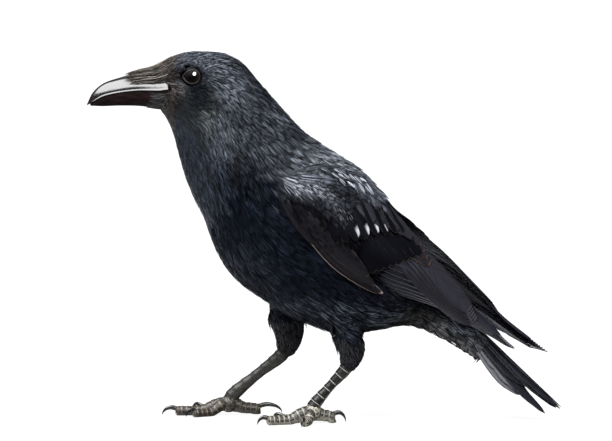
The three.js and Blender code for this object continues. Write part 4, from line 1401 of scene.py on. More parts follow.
@dataclass
class Skin:
    """One skin over head, neck, body and thighs, as deep under the coat as its feathers stand."""

    coat: Coat
    nodes: tuple[str, ...] = ("head", "neck", "torso", "thigh_left", "thigh_right")
    grown: float = 0.4
    voxel: float = 1.9
    face_x: float = -126.3
    mouth: float = 9.0
    mouth_tall: Span = (3.5, 6.0)
    mouth_long: Span = (-2.5, 2.0)
    smoothing: int = 8

    def copy_node(self, name: str) -> Piece:
        """Copy one CAD node, with its loose triangles merged, and grow it until it meets its neighbours."""
        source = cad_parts[name]
        piece = bpy.data.objects.new(f"flesh_{name}", source.data.copy())
        bpy.context.collection.objects.link(piece)
        open_up(piece)
        bpy.ops.mesh.remove_doubles(threshold=0.00001)
        if name == "head":
            bpy.ops.mesh.bisect(
                plane_co=(self.face_x * MM, 0, 0), plane_no=(1, 0, 0), use_fill=True, clear_inner=True
            )
            bpy.ops.mesh.select_all(action="SELECT")
        bpy.ops.transform.shrink_fatten(value=self.grown * MM)
        bpy.ops.object.mode_set(mode="OBJECT")
        return piece

    def tail_root(self) -> Piece:
        """Extrude the flesh that the tail grows from."""
        body = self.coat.body
        rings = 12
        first = body.root_of_tail - 1.5
        last = len(body.stations) - 1

        def place(ring: Array, angle: Array, rim: Array) -> Array:
            """Return places of the tail's root."""
            u = mix(first, last, ring / (rings - 1))
            top, bottom = body.ends(u)
            middle, rise = (top + bottom) / 2, (top - bottom) / 2
            half = body.field(4)(u)
            c, s = np.cos(angle) * rim, np.sin(angle) * rim
            return np.stack([middle[:, 0] + rise[:, 0] * c, half * s, middle[:, 1] + rise[:, 1] * c], axis=1)

        return tube("flesh_tail_root", 24, rings, place)

    def build(self) -> Piece:
        """Join the flesh, wrap it in one skin, smooth it and draw it in under the coat."""
        parts = [self.copy_node(name) for name in self.nodes] + [self.tail_root()]
        deselect()
        for part in parts:
            part.select_set(True)
        bpy.context.view_layer.objects.active = parts[0]
        bpy.ops.object.join()
        skin = bpy.context.object
        skin.name = skin.data.name = "skin"
        skin.data.materials.clear()
        wrap = skin.modifiers.new("wrap", "REMESH")
        wrap.mode = "VOXEL"
        wrap.voxel_size = self.voxel * MM
        soften = skin.modifiers.new("soften", "SMOOTH")
        soften.iterations = self.smoothing
        soften.factor = 0.5
        pick_up(skin)
        bpy.ops.object.modifier_apply(modifier="wrap")
        bpy.ops.object.modifier_apply(modifier="soften")
        points = points_of(skin.data) / MM
        inwards = normals_of(skin.data) * (self.coat.skin_depth(points) + self.grown)[:, None]
        # The corners of the mouth lie deeper, so that the bill shows in them.
        behind = points[:, 0] - self.coat.gape[0]
        aside = np.abs(points[:, 2] - self.coat.gape[1]) / np.clip((2.5 - behind) / 8, 0.25, 1)
        mouth = (1 - fade(aside, *self.mouth_tall)) * (1 - fade(behind, *self.mouth_long))
        inwards[:, 1] += self.mouth * mouth * np.sign(points[:, 1])
        move_points(skin.data, (points - inwards) * MM)
        open_up(skin)
        while skin.data.uv_layers:
            skin.data.uv_layers.remove(skin.data.uv_layers[0])
        bpy.ops.uv.smart_project(angle_limit=math.radians(66), island_margin=0.002)
        bpy.ops.object.mode_set(mode="OBJECT")
        skin.data.uv_layers[0].name = "OFBake"
        bpy.ops.object.shade_smooth()
        return skin


@dataclass
class Bill:
    """The bill: an upper and a lower half that meet in the line of the mouth."""

    # Each station: x, and the heights of ridge, cutting edge and keel, and half of the width.
    stations: tuple[tuple[float, float, float, float, float], ...] = (
        (-182.0, 242.6, 241.9, 241.4, 0.5), (-178.0, 251.0, 244.1, 241.3, 2.2),
        (-170.0, 258.3, 248.7, 241.0, 4.3), (-158.0, 262.8, 251.8, 241.4, 6.3),
        (-143.0, 266.8, 253.7, 241.2, 8.3), (-126.8, 270.8, 254.0, 239.6, 11.4),
        (-122.8, 271.6, 254.6, 239.4, 12.5), (-119.0, 272.0, 255.2, 240.0, 13.3),
    )
    lower_tip: float = -179.5
    gap: float = 0.3
    rings: int = 56
    sides: int = 72
    roll: float = 0.3
    inset: float = 0.55

    def read(self, index: int, x: Array) -> Array:
        """Return one number of the stations at places along the bill."""
        return column(self.stations, index, 0)(x)

    def skirt(self, x: Array, turn: Array, grow: Array | float) -> Array:
        """Return places all round the bill: turn runs over the ridge to pi, and on under the keel."""
        ridge, edge, keel = (self.read(i, x) for i in (1, 2, 3))
        half = self.read(4, x) + grow
        tall = np.where(np.sin(turn) > 0, ridge - edge, edge - keel) + grow
        return np.stack(np.broadcast_arrays(x, half * np.cos(turn), edge + tall * np.sin(turn)), axis=-1)

    def half(self, name: str, lower: bool) -> Piece:
        """Shape one half of the bill.

        Args:
            name: Name of the piece.
            lower: Whether it is the lower half.

        Returns:
            The piece.
        """
        first = self.lower_tip if lower else self.stations[0][0]
        last = self.stations[-1][0]

        def place(ring: Array, angle: Array, rim: Array) -> Array:
            """Return places of this half: an arch, with a hollowed face where it meets the other half."""
            share = ring / (self.rings - 1)
            x = mix(first, last, share**1.35)
            edge = self.read(2, x) - (self.gap if lower else 0)
            height = edge - self.read(3, x) if lower else self.read(1, x) - edge
            half = np.maximum(self.read(4, x) - (self.inset if lower else 0), 0.2)
            arch = angle <= math.pi
            even = np.where(arch, angle, 2 * math.pi - angle)
            # The points crowd towards the cutting edges, where the section turns sharply.
            lie = even - 0.36 * np.sin(2 * even)
            up = np.where(arch, height * np.sin(lie), -0.08 * np.minimum(height, 3) * np.sin(lie))
            # Each flank slopes in from a rounded cutting edge to a narrow ridge.
            over = np.abs(up) / np.maximum(height, 0.1)
            steep = mix(2.0, 1.0, fade(x, -152.0, -130.0))
            slope = 1 - (0.05 if lower else 0.2) * over**steep * np.clip(1.1 - over, 0, 1)
            lip = self.roll * np.exp(-(((np.abs(up) - 0.4) / 0.5) ** 2)) * fade(height, 1.0, 6.0)
            y = (half * slope + (0 if lower else lip)) * np.cos(lie)
            z = edge + (-up if lower else up)
            centre = edge + (-0.3 if lower else 0.3) * height
            return np.stack([x, y * rim, mix(centre, z, rim)], axis=1)

        return tube(name, self.sides, self.rings, place)

    def build(self) -> list[Piece]:
        """Make and dress the upper and the lower half, and return them."""
        horn = HornFinish("bill_horn").material()
        brown = HornFinish("lower_bill_horn", "0f0a0c", "33221f", 0.3, 0.7).material()
        return [
            dress(self.half("bill_upper_horn", False), horn, "bill_horn", "bill_upper"),
            dress(self.half("bill_lower_horn", True), brown, "bill_horn", "bill_lower"),
        ]


@dataclass
class Bristles:
    """Nasal bristles: stiff brown-grey hairs that lie forward over the root of the bill."""

    bill: Bill
    root: float = -124.5
    reach: Span = (10.0, 33.0)
    count: int = 760
    fringe_count: int = 560
    half: float = 0.4
    seed: int = 5
    # Over the root of the bill and the forehead: x, height of the ridge and half of the width.
    forehead: tuple[Spot, ...] = (
        (-158.0, 262.8, 6.3), (-143.0, 266.8, 8.3), (-126.8, 271.8, 11.2), (-117.5, 279.2, 15.4),
        (-108.0, 283.0, 17.4),
    )

    def point(self, x: Array, angle: Array, grow: Array | float) -> Array:
        """Return places over the bill's root and the forehead; the angle runs from 0 over the ridge to pi."""
        ridge, half = (column(self.forehead, i, 0)(x) for i in (1, 2))
        edge = self.bill.read(2, x)
        rise = (ridge - edge + grow) * np.sin(angle)
        return np.stack(np.broadcast_arrays(x, (half + grow) * np.cos(angle), edge + rise), axis=-1)

    def build(self) -> Piece:
        """Lay every bristle on the arch of the bill, longest along the flanks, and dress them."""
        random = np.random.default_rng(self.seed)
        angle = random.uniform(0.38, math.pi - 0.38, self.count)
        low = np.abs(angle / math.pi - 0.5) * 2
        longest = mix(self.reach[1], self.reach[1] * 0.9, fade(low, 0.55, 0.85))
        length = mix(self.reach[0], longest, random.uniform(0, 1, self.count) ** 0.6)
        start = self.root + random.uniform(-1.5, 9.0, self.count) * random.uniform(0.3, 1.0, self.count)
        steps = np.linspace(0, 1, 5)
        x = start[:, None] - length[:, None] * steps
        bent = random.normal(0, 0.05, (self.count, 1)) * np.sin(steps * 2.6)[None]
        wavy = random.normal(0, 0.03, (self.count, 1)) * np.sin(steps * 6.0)[None]
        swing = bent + wavy - 0.10 * low[:, None] * steps[None]
        lie = angle[:, None] + swing * np.sign(angle - math.pi / 2)[:, None]
        track = Track.over(self.point(x, lie, 0.25), self.point(x, lie, 1.25))
        shape = TuftShape(
            2, Curve(((0, 0.6), (1, 0.9))), 0.2, Curve(((0, 0.1), (0.5, 0.9), (1, 0.75))), 0.35, 0.1, 1.2, 0.3
        )
        halves = self.half * random.uniform(0.7, 1.1, self.count)
        lifts = random.uniform(0.3, 2.2, self.count)
        unwrap = np.stack([0.1 + 0.8 * (x[:, 0] - x[:, 0].min()) / 10, angle / math.pi], axis=1)
        tones = np.clip(random.normal(0.1, 0.5, self.count), -0.8, 0.9)
        unwrap = np.clip(unwrap, 0.01, 0.99)
        piece = draw_tufts("nasal_bristles", shape, track, halves, lifts, tones, unwrap, random)
        finish = PlumageFinish("nasal_bristle", "0a0908", "4c4641", "6a625a", 0.42, 0.5, "f6f0ea", "a89e93")
        dress(piece, finish.material(), "body_plumage")
        return self.fringe(random)

    def fringe(self, random: Random) -> Piece:
        """Lay short feathers forward over the rim of the bill, all round it, and dress them."""
        turn = random.uniform(0, 2 * math.pi, self.fringe_count)
        # None grows over the cutting edges, which run on bare to the corner of the mouth.
        turn = turn[(np.sin(turn) > 0.38) | (np.sin(turn) < -0.16)]
        count = len(turn)
        under = np.sin(turn) < 0
        length = random.uniform(5.0, 9.0, count) + 5.0 * under * np.abs(np.sin(turn))
        steps = np.linspace(0, 1, 5)
        start = -121.5 + random.uniform(-3.5, 1.5, count)
        x = start[:, None] - length[:, None] * steps
        swing = turn[:, None] + random.normal(0, 0.05, (count, 1)) * steps
        grow = mix((random.uniform(0.5, 1.4, count) * np.where(under, 0.4, 1.0))[:, None], 0.1, steps[None])
        track = Track.over(self.bill.skirt(x, swing, grow), self.bill.skirt(x, swing, grow + 1.0))
        shape = TuftShape(3, LANCE, 0.3, Curve(((0, 0.2), (0.5, 0.8), (1, 0.7))), 0.3, 0.1, 1.2, 0.25)
        halves = random.uniform(0.45, 0.8, count)
        tones = np.clip(random.normal(0.12, 0.15, count), 0, 1)
        unwrap = np.stack([0.1 + 0.8 * np.abs(start + 121.5) / 5, turn / (2 * math.pi)], axis=1)
        unwrap, lifts = np.clip(unwrap, 0.01, 0.99), np.full(count, 0.6)
        piece = draw_tufts("bill_fringe", shape, track, halves, lifts, tones, unwrap, random)
        finish = PlumageFinish("rictal_feather", "0f0d0e", "3a3533", "38322f", 0.5, 0.4, "f0ece6")
        return dress(piece, finish.material(), "body_plumage")


@dataclass
class Eye:
    """An eyeball in its lids."""

    side: int
    centre: Spot = (-101.6, 11.6, 265.6)
    radius: float = 8.2
    opening: float = 5.5
    lid: float = 0.55

    @property
    def name(self) -> str:
        """Return which eye this is."""
        return "left" if self.side < 0 else "right"

    @property
    def place(self) -> Spot:
        """Return the middle of the eyeball."""
        return (self.centre[0], self.side * self.centre[1], self.centre[2])

    def ball(self) -> Piece:
        """Turn a sphere so that its pole looks out, and press its cornea forward."""
        sizes = {"segments": 48, "ring_count": 28, "radius": self.radius * MM}
        piece = start_piece(f"eye_{self.name}_ball", bpy.ops.mesh.primitive_uv_sphere_add, **sizes)
        points = points_of(piece.data)[:, [0, 2, 1]] / MM
        points[:, 1] *= self.side
        out = points[:, 1] * self.side / self.radius
        points[:, 1] += self.side * 0.25 * fade(out, 0.86, 1.0)
        move_points(piece.data, (points + np.array(self.place)) * MM)
        return close_up(piece)

    def lids(self) -> Piece:
        """Shape a ring into lids: drawn to a point at the front corner, thin at the edge."""
        sizes = {"major_segments": 64, "minor_segments": 12, "major_radius": 1.0, "minor_radius": 0.1}
        piece = start_piece(f"eye_{self.name}_lids", bpy.ops.mesh.primitive_torus_add, **sizes)
        blank = points_of(piece.data)
        turn = np.arctan2(blank[:, 1], blank[:, 0])
        out = (np.hypot(blank[:, 0], blank[:, 1]) - 1.0) / 0.1
        rise = blank[:, 2] / 0.1
        corner = np.exp(-((np.abs(turn) - math.pi) / 0.35) ** 2)
        radius = self.opening + 0.25 + out * self.lid * (1 + 0.8 * corner) + 1.1 * corner
        depth = math.sqrt(self.radius**2 - self.opening**2)
        across = self.side * (depth + 0.15 + rise * 0.62 - 0.5 * corner)
        tall = 1.0 - 0.1 * np.abs(np.sin(turn))
        points = np.stack([radius * np.cos(turn), across, radius * np.sin(turn) * tall], axis=1)
        move_points(piece.data, (points + np.array(self.place)) * MM)
        return close_up(piece)

    def build(self) -> Piece:
        """Make and dress the eyeball and its lids."""
        ball = self.ball()
        dress(ball, EyeFinish(f"eye_{self.name}_cornea", self.place).material(), "eye", f"eye_{self.name}")
        skin = SkinFinish(f"eyelid_{self.name}", "080708", "282422", 0.45, 0.4)
        dress(self.lids(), skin.material(), "body_plumage")
        return ball


@dataclass(frozen=True)
class Toe:
    """One toe: heading away from the bill's way in degrees, length, radius, arch and claw length."""

    heading: float
    length: float
    radius: float
    arch: float
    claw: float

    @property
    def way(self) -> Array:
        """Return the way that the toe points, level with the floor."""
        return np.array([-math.cos(math.radians(self.heading)), -math.sin(math.radians(self.heading)), 0.0])


@dataclass
class Leg:
    """The bare part of a leg: a scaled shank, the ball of the foot, four toes and their claws."""

    name: str
    shank: tuple[tuple[float, float, float, float, float], ...]
    ball: Spot
    toes: tuple[Toe, ...]
    finishes: tuple[Material, Material, Material]
    scutes: int = 11
    proud: float = 0.5
    swollen: float = 1.12

    def limb(
        self, name: str, stations: Array, sides: int, rings: int, aside: Array, scutes: int, proud: float,
        facing: float,
    ) -> Piece:
        """Shape a limb round a bent path, with a row of scutes along one face.

        Args:
            name: Name of the piece.
            stations: Rows of x, y, z, depth and width.
            sides: Points round it.
            rings: Rings along it.
            aside: Rough way across the limb.
            scutes: Scutes along it.
            proud: How far the lower edge of each stands out.
            facing: Angle round the limb that the scutes face.

        Returns:
            The piece, with no point below the floor.
        """
        last = len(stations) - 1
        curves = [column(stations, k) for k in range(5)]

        def spot(u: Array) -> Array:
            """Return places down the middle."""
            return np.stack([curves[k](u) for k in range(3)], axis=1)

        def place(ring: Array, angle: Array, rim: Array) -> Array:
            """Return places of the limb's surface."""
            share = ring / (rings - 1)
            u = last * share
            run = unit(spot(np.minimum(u + 0.03, last)) - spot(np.maximum(u - 0.03, 0)))
            across = unit(aside[None] - run * (run @ aside)[:, None])
            up = np.cross(run, across)
            phase = (share * scutes) % 1.0
            front = fade(np.cos(angle - facing), -0.1, 0.35)
            relief = proud * front * phase**1.6 * (share < 0.995)
            soles = 0.25 * proud * (1 - front) * np.sin(share * scutes * math.pi) ** 2
            deep = (curves[3](u) + relief + soles) * np.cos(angle) * rim
            wide = (curves[4](u) + relief + soles) * np.sin(angle) * rim
            return spot(u) + up * deep[:, None] + across * wide[:, None]

        def chart(ring: Array, angle: Array) -> Array:
            """Return how far each point faces the scutes, and its place counted in scutes."""
            front = 0.5 + 0.5 * np.cos(angle - facing)
            return np.stack([front, ring / (rings - 1) * scutes * 0.9999], axis=1)

        piece = tube(name, sides, rings, place, chart)
        points = points_of(piece.data)
        points[:, 2] = np.maximum(points[:, 2], 0.0)
        move_points(piece.data, points)
        return piece

    def toe_stations(self, toe: Toe) -> Array:
        """Return the stations of a toe from the ball of the foot to its last pad."""
        r, arch = toe.radius * self.swollen, toe.arch
        rows = (
            (0.0, 9.0, r * 1.5, r * 1.3), (0.24, 7.4, r * 1.3, r * 1.2), (0.48, r + arch, r * 1.05, r * 1.08),
            (0.72, r * 0.85 + arch, r, r), (0.94, r * 0.85, r, r * 0.95), (1.0, r * 0.85, r * 0.55, r * 0.5),
        )
        return np.array([(*(self.ball[:2] + toe.way[:2] * toe.length * s), z, d, w) for s, z, d, w in rows])

    def claw_stations(self, toe: Toe) -> Array:
        """Return the stations of a claw from above the last pad down to the floor."""
        rows = (
            (-2.6, 4.6 + toe.arch, 1.9, 1.4), (toe.claw * 0.3, 6.2 + toe.arch, 1.75, 1.2),
            (toe.claw * 0.72, 5.0 + toe.arch * 0.8, 1.2, 0.85),
            (toe.claw * 0.95, 2.6 + toe.arch * 0.4, 0.62, 0.45), (toe.claw, 0.6, 0.15, 0.15),
        )
        return np.array([(*(self.ball[:2] + toe.way[:2] * (toe.length + s)), z, d, w) for s, z, d, w in rows])

    def foot_ball(self) -> Piece:
        """Press a sphere into the low, puckered ball of the foot."""
        sphere = bpy.ops.mesh.primitive_uv_sphere_add
        piece = start_piece(f"foot_{self.name}_ball", sphere, segments=36, ring_count=24, radius=1.0)
        points = points_of(piece.data)
        turn = np.arctan2(points[:, 1], points[:, 0])
        pucker = 1 + 0.05 * np.sin(turn * 9) * np.sin(points[:, 2] * 7)
        shaped = points * 6.7 * pucker[:, None] + np.array(self.ball)
        shaped[:, 2] = np.maximum(shaped[:, 2], 2.2)
        move_points(piece.data, shaped * MM)
        height = points[:, 2]
        keep_map(piece.data, "Scale", np.stack([0.25 - 0.25 * height, height * 3.0 + 3.0], axis=1))
        return close_up(piece)

    def build(self) -> None:
        """Make and dress the shank, the ball of the foot, the toes and the claws."""
        claws, scales, hide = self.finishes
        shank = self.limb(
            f"shank_{self.name}", np.array(self.shank), 28, self.scutes * 6 + 1, np.array([0.0, 1.0, 0.0]),
            self.scutes, self.proud, math.pi,
        )
        dress(shank, scales, "leg_scale", f"tarsus_{self.name}")
        dress(self.foot_ball(), hide, "leg_scale")
        for number, toe in enumerate(self.toes, start=1):
            across = np.cross([0.0, 0.0, 1.0], toe.way)
            bands = max(5, round(toe.length / 3.4))
            name, stations = f"foot_{self.name}_toe_{number}", self.toe_stations(toe)
            piece = self.limb(name, stations, 22, bands * 5 + 1, across, bands, 0.45, 0.0)
            dress(piece, hide, "leg_scale", f"toe_{self.name}_{number}")
            name, stations = f"foot_{self.name}_claw_{number}", self.claw_stations(toe)
            claw = self.limb(name, stations, 16, 26, across, 1, 0.0, math.pi)
            dress(claw, claws, "claw_horn", f"claw_{self.name}_{number}")


@dataclass(frozen=True)
class Crowd:
    """Small feathers on a folded wing, over a span along its roof and between two levels of it."""

    name: str
    spans: Span
    # Lowest and highest share of the way from hem to crest.
    levels: tuple[Curve, Curve]
    spacing: float
    length: float
    half: float
    # Lift off the roof of the roots and of the tips.
    lifts: Span
    # Share of the way from hem to crest by which a tip lies lower than its root.
    fall: float
    shape: TuftShape
    seed: int
    # How much further forward the roots at the crest start, and how much painted sheen the feathers get on
    # top of their tone.
    slant: float = 0.0
    glow: float = 0.0


EVEN = Curve(((0, 0), (1, 1)))
HEM = Curve(((0, -0.2), (17, -0.04), (44, 0.08), (63, 0.16)))
CREST = Curve(((0, 1.0), (1, 1.0)))
BAND = Curve(((-14, 0.06), (-1, 0.22), (10, 0.34), (19, 0.36), (48, 0.38)))
PLUMES_LOW = Curve(((0, 0.92), (10, 0.88), (22, 0.83), (30, 0.80), (40, 0.86), (52, 0.80)))
PLUMES_HIGH = Curve(((0, 1.0), (22, 0.94), (40, 0.93), (52, 0.86)))
SHORT_TUFT = TuftShape(8, SOFT, 0.3, EVEN, 0.7, overlap=1.1)

CROWDS = (
    Crowd("marginal_coverts", (-2, 54), (HEM, BAND), 3.6, 17.0, 3.8, (-3.4, -1.0), 0.06, SHORT_TUFT, 62),
    Crowd("lesser_coverts", (-7, 42), (BAND, CREST), 2.5, 12.5, 2.5, (-3.0, -0.4), 0.08, SHORT_TUFT, 60, 11),
    Crowd(
        "shoulder", (-10, 46), (Curve(((-12, 0.7), (36, 0.74))), CREST), 4.2, 22.0, 4.2, (-2.4, 0.6), 0.03,
        TuftShape(12, SOFT, 0.3, EVEN, 0.6, overlap=1.15), 61,
    ),
    Crowd(
        "scapular_plumes", (9, 46), (PLUMES_LOW, PLUMES_HIGH), 4.6, 8.5, 1.3, (0.4, 1.6), 0.12,
        TuftShape(3, LANCE, 0.4, EVEN, 0.5, overlap=1.1), 63, 0, 0.3,
    ),
)


@dataclass
class WingFeathers:
    """Everything on a folded wing: its pad, its rows of vanes and the small coverts over them."""

    wing: Wing
    finishes: dict[str, Material]
    maker: VaneMaker = field(default_factory=VaneMaker)
    pad_lift: Curve = Curve(
        ((-10, -3.2), (10, -3.6), (50, -5.0), (75, -7.5), (108, -11.0), (150, -8.0), (186, -4.2))
    )
    pad_thick: Curve = Curve(((-10, 5.0), (90, 5.0), (120, 1.6), (186, 0.5)))
    pad_end: float = 186.0

    def pad(self) -> Piece:
        """Shape the flesh of the wing: a closed slab that follows the roof under the feathers."""
        rings, sides = 60, 32
        wing = self.wing

        def place(ring: Array, angle: Array, rim: Array) -> Array:
            """Return places of the slab, out along one face and back along the other."""
            s = mix(wing.pad[0] + 2, self.pad_end, ring / (rings - 1))
            outer = angle <= math.pi
            lie = np.where(outer, angle, 2 * math.pi - angle) / math.pi
            inset = 0.03 + 0.17 * fade(s, 100, 150)
            level = mix(inset, 1 - inset, lie * rim + 0.5 * (1 - rim))
            thick = self.pad_thick(s)
            lift = self.pad_lift(s) - np.where(outer, 0.0, 1.0) * thick - (1 - rim) * thick / 2
            return wing.point(s, mix(wing.hem(s), wing.crest(s), level), lift)

        return tube(f"wing_{wing.name}_pad", sides, rings, place)

    def row(self, row: FeatherRow, seed: int) -> Piece:
        """Draw one row of vanes."""
        vanes = []
        for index in range(row.count):
            place = self.wing.place(row, index)
            ends = place(np.array([0.0, 1.0]), np.array([0.0, 0.0]), np.array([0.0, 0.0]))
            length = float(np.linalg.norm(ends[1] - ends[0]))
            worn = self.wing.worn * row.worn * (row.worn_later if index > 0 else 1.0)
            # Painted glints on the tips of some median coverts of the near wing; elsewhere painted light over
            # the feathers of a wing that lies in shade.
            if index in row.painted_glint_tips and self.wing.side < 0:
                pale = (1.0, 0.74, 1.0)
            else:
                pale = (self.wing.painted_light if row.name != "primaries" else 0.0, 0.0, 0.0)
            vanes.append(Vane(place, length, row.half, row.ragged, *pale, worn))
        return self.maker.draw(f"wing_{self.wing.name}_{row.name}", vanes, seed)

    def tufts(self, crowd: Crowd) -> Piece:
        """Lay one crowd of small feathers on the roof itself."""
        random = np.random.default_rng(crowd.seed)
        wing = self.wing
        first, last = crowd.spans
        roots = []
        for s in np.arange(first, last, crowd.spacing):
            low, high = float(crowd.levels[0](s)), float(crowd.levels[1](s))
            width = abs(wing.crest(s) - wing.hem(s)) * math.pi / 180 * float(ROOF_HALF(s)) * (high - low)
            roots += [(s, level) for level in np.linspace(low, high, max(2, int(width / crowd.spacing)))]
        roots = np.array(roots) + random.normal(0, 1, (len(roots), 2)) * [crowd.spacing * 0.3, 0.012]
        roots[:, 0] -= crowd.slant * roots[:, 1]
        count, steps = len(roots), np.linspace(0, 1, 5)
        lengths = crowd.length * random.normal(1, 0.1, count)
        drift = (random.normal(0, 0.025, (count, 1)) - crowd.fall) * steps
        s = roots[:, :1] + lengths[:, None] * steps
        angle = wing.angle(s, roots[:, 1:] + drift)
        lift = mix(*crowd.lifts, steps)[None] * np.ones((count, 1))
        track = Track.over(wing.point(s, angle, lift), wing.point(s, angle, lift + 1.0))
        shares = np.stack([(roots[:, 0] - first) / (last - first), roots[:, 1]], axis=1)
        unwrap = 0.02 + 0.96 * np.clip(shares, 0, 1)
        halves = crowd.half * random.uniform(0.85, 1.15, count)
        # Painted sheen: each small feather's tone comes from the painted shoulder band and scapular tips,
        # plus the crowd's glow.
        tones = (self.tone(roots[:, 0], roots[:, 1]) + crowd.glow) * random.uniform(0.5, 1.5, count)
        name = f"wing_{wing.name}_{crowd.name}"
        shape, lifts = crowd.shape, np.full(count, 0.5)
        return draw_tufts(name, shape, track, halves, lifts, np.clip(tones, 0, 0.85), unwrap, random)

    def tone(self, along: Array, level: Array) -> Array:
        """Return the painted sheen of the small feathers: a painted highlight band across the shoulder, and
        painted sheen on the scapular tips.
        """
        middle = Curve(((-17, 0.42), (0, 0.56), (12, 0.56), (28, 0.48), (42, 0.44)))(along)
        wide = Curve(((-17, 0.3), (0, 0.19), (12, 0.08), (28, 0.045), (42, 0.035)))(along)
        bright = Curve(((-17, 0.9), (2, 0.85), (12, 0.4), (42, 0.3)))(along)
        upper = Curve(((-12, 0.1), (8, 0.26), (18, 0.45), (60, 0.4)))(along) * fade(level, 0.7, 0.82)
        return bright * np.exp(-(((level - middle) / wide) ** 4)) + upper

    def build(self) -> None:
        """Make and dress the whole wing."""
        name = self.wing.name
        dress(self.pad(), SkinFinish(f"wing_{name}_flesh").material(), "body_plumage", f"wing_{name}")
        for seed, row in enumerate(WING_ROWS, start=40):
            dress(self.row(row, seed), self.finishes[row.name], "flight_feather")
        for crowd in CROWDS:
            dress(self.tufts(crowd), self.finishes[crowd.name], "body_plumage")


@dataclass
class Tail:
    """The closed tail: twelve feathers under a shallow tent."""

    root: tuple[float, float, float, float] = (80.0, 106.2, 43.8, 46.0)
    length: float = 139.5
    pitch: float = 0.82
    round: float = 6.0
    half: float = 7.6
    step: float = 1.0
    # By side: how much shorter each feather is than the longest, from the middle pair outwards, and how far
    # from the ridge it lies.
    shorter: tuple[tuple[float, ...], tuple[float, ...]] = ((0, 3, 30, 7, 25, 30), (0, 4, 26, 30, 34, 40))
    aside: tuple[float, ...] = (2.8, 4.6, 8.4, 14.6, 12.6, 15.6)
    broad: tuple[float, ...] = (0.88, 0.88, 1.0, 0.6, 1.0, 1.0)
    maker: VaneMaker = field(default_factory=VaneMaker)

    def point(self, along: Array, across: Array, lift: Array) -> Array:
        """Return places at a length along the ridge, a place across it and a lift off the tent."""
        slope = math.radians(self.root[2])
        span = np.hypot(across, self.round)
        sag, fall = self.pitch * (span - self.round), self.pitch * across / span
        up = np.array([math.sin(slope), 0.0, math.cos(slope)])
        normal = unit(up + np.stack([np.zeros_like(fall), fall, np.zeros_like(fall)], axis=-1))
        x, z = self.root[0] + along * math.cos(slope), self.root[1] - along * math.sin(slope)
        ridge = np.stack(np.broadcast_arrays(x, across, z), axis=-1)
        return ridge - up * sag[..., None] + normal * lift[..., None]

    def feather(self, side: int, index: int) -> Vane:
        """Return one tail feather, counted from the middle pair outwards."""
        length = self.length - self.shorter[0 if side < 0 else 1][index]
        centre = side * self.aside[index]
        half = self.half * self.broad[index]
        layer = index + 1 if index > 0 or side < 0 else 0

        def place(along: Array, across: Array, drop: Array) -> Array:
            """Return places of the feather's surface."""
            open_share = mix(0.45, 1.0, np.minimum(1, along * 1.3))
            aside = centre * open_share + across * vane_half(half, 1.0, along)
            return self.point(mix(self.root[3], length, along), aside, -self.step * layer + drop)

        # The two outermost feathers each side are painted a little pale: a painted reflection of the bright
        # floor.
        return Vane(place, length - self.root[3], half, 0.2, 0.2 if index > 3 else 0.0)

    def build(self, finish: Material) -> None:
        """Make and dress the tail feathers."""
        vanes = [self.feather(side, i) for i in range(len(self.shorter[0])) for side in (1, -1)]
        dress(self.maker.draw("tail_feathers", vanes, 70), finish, "flight_feather", "tail")


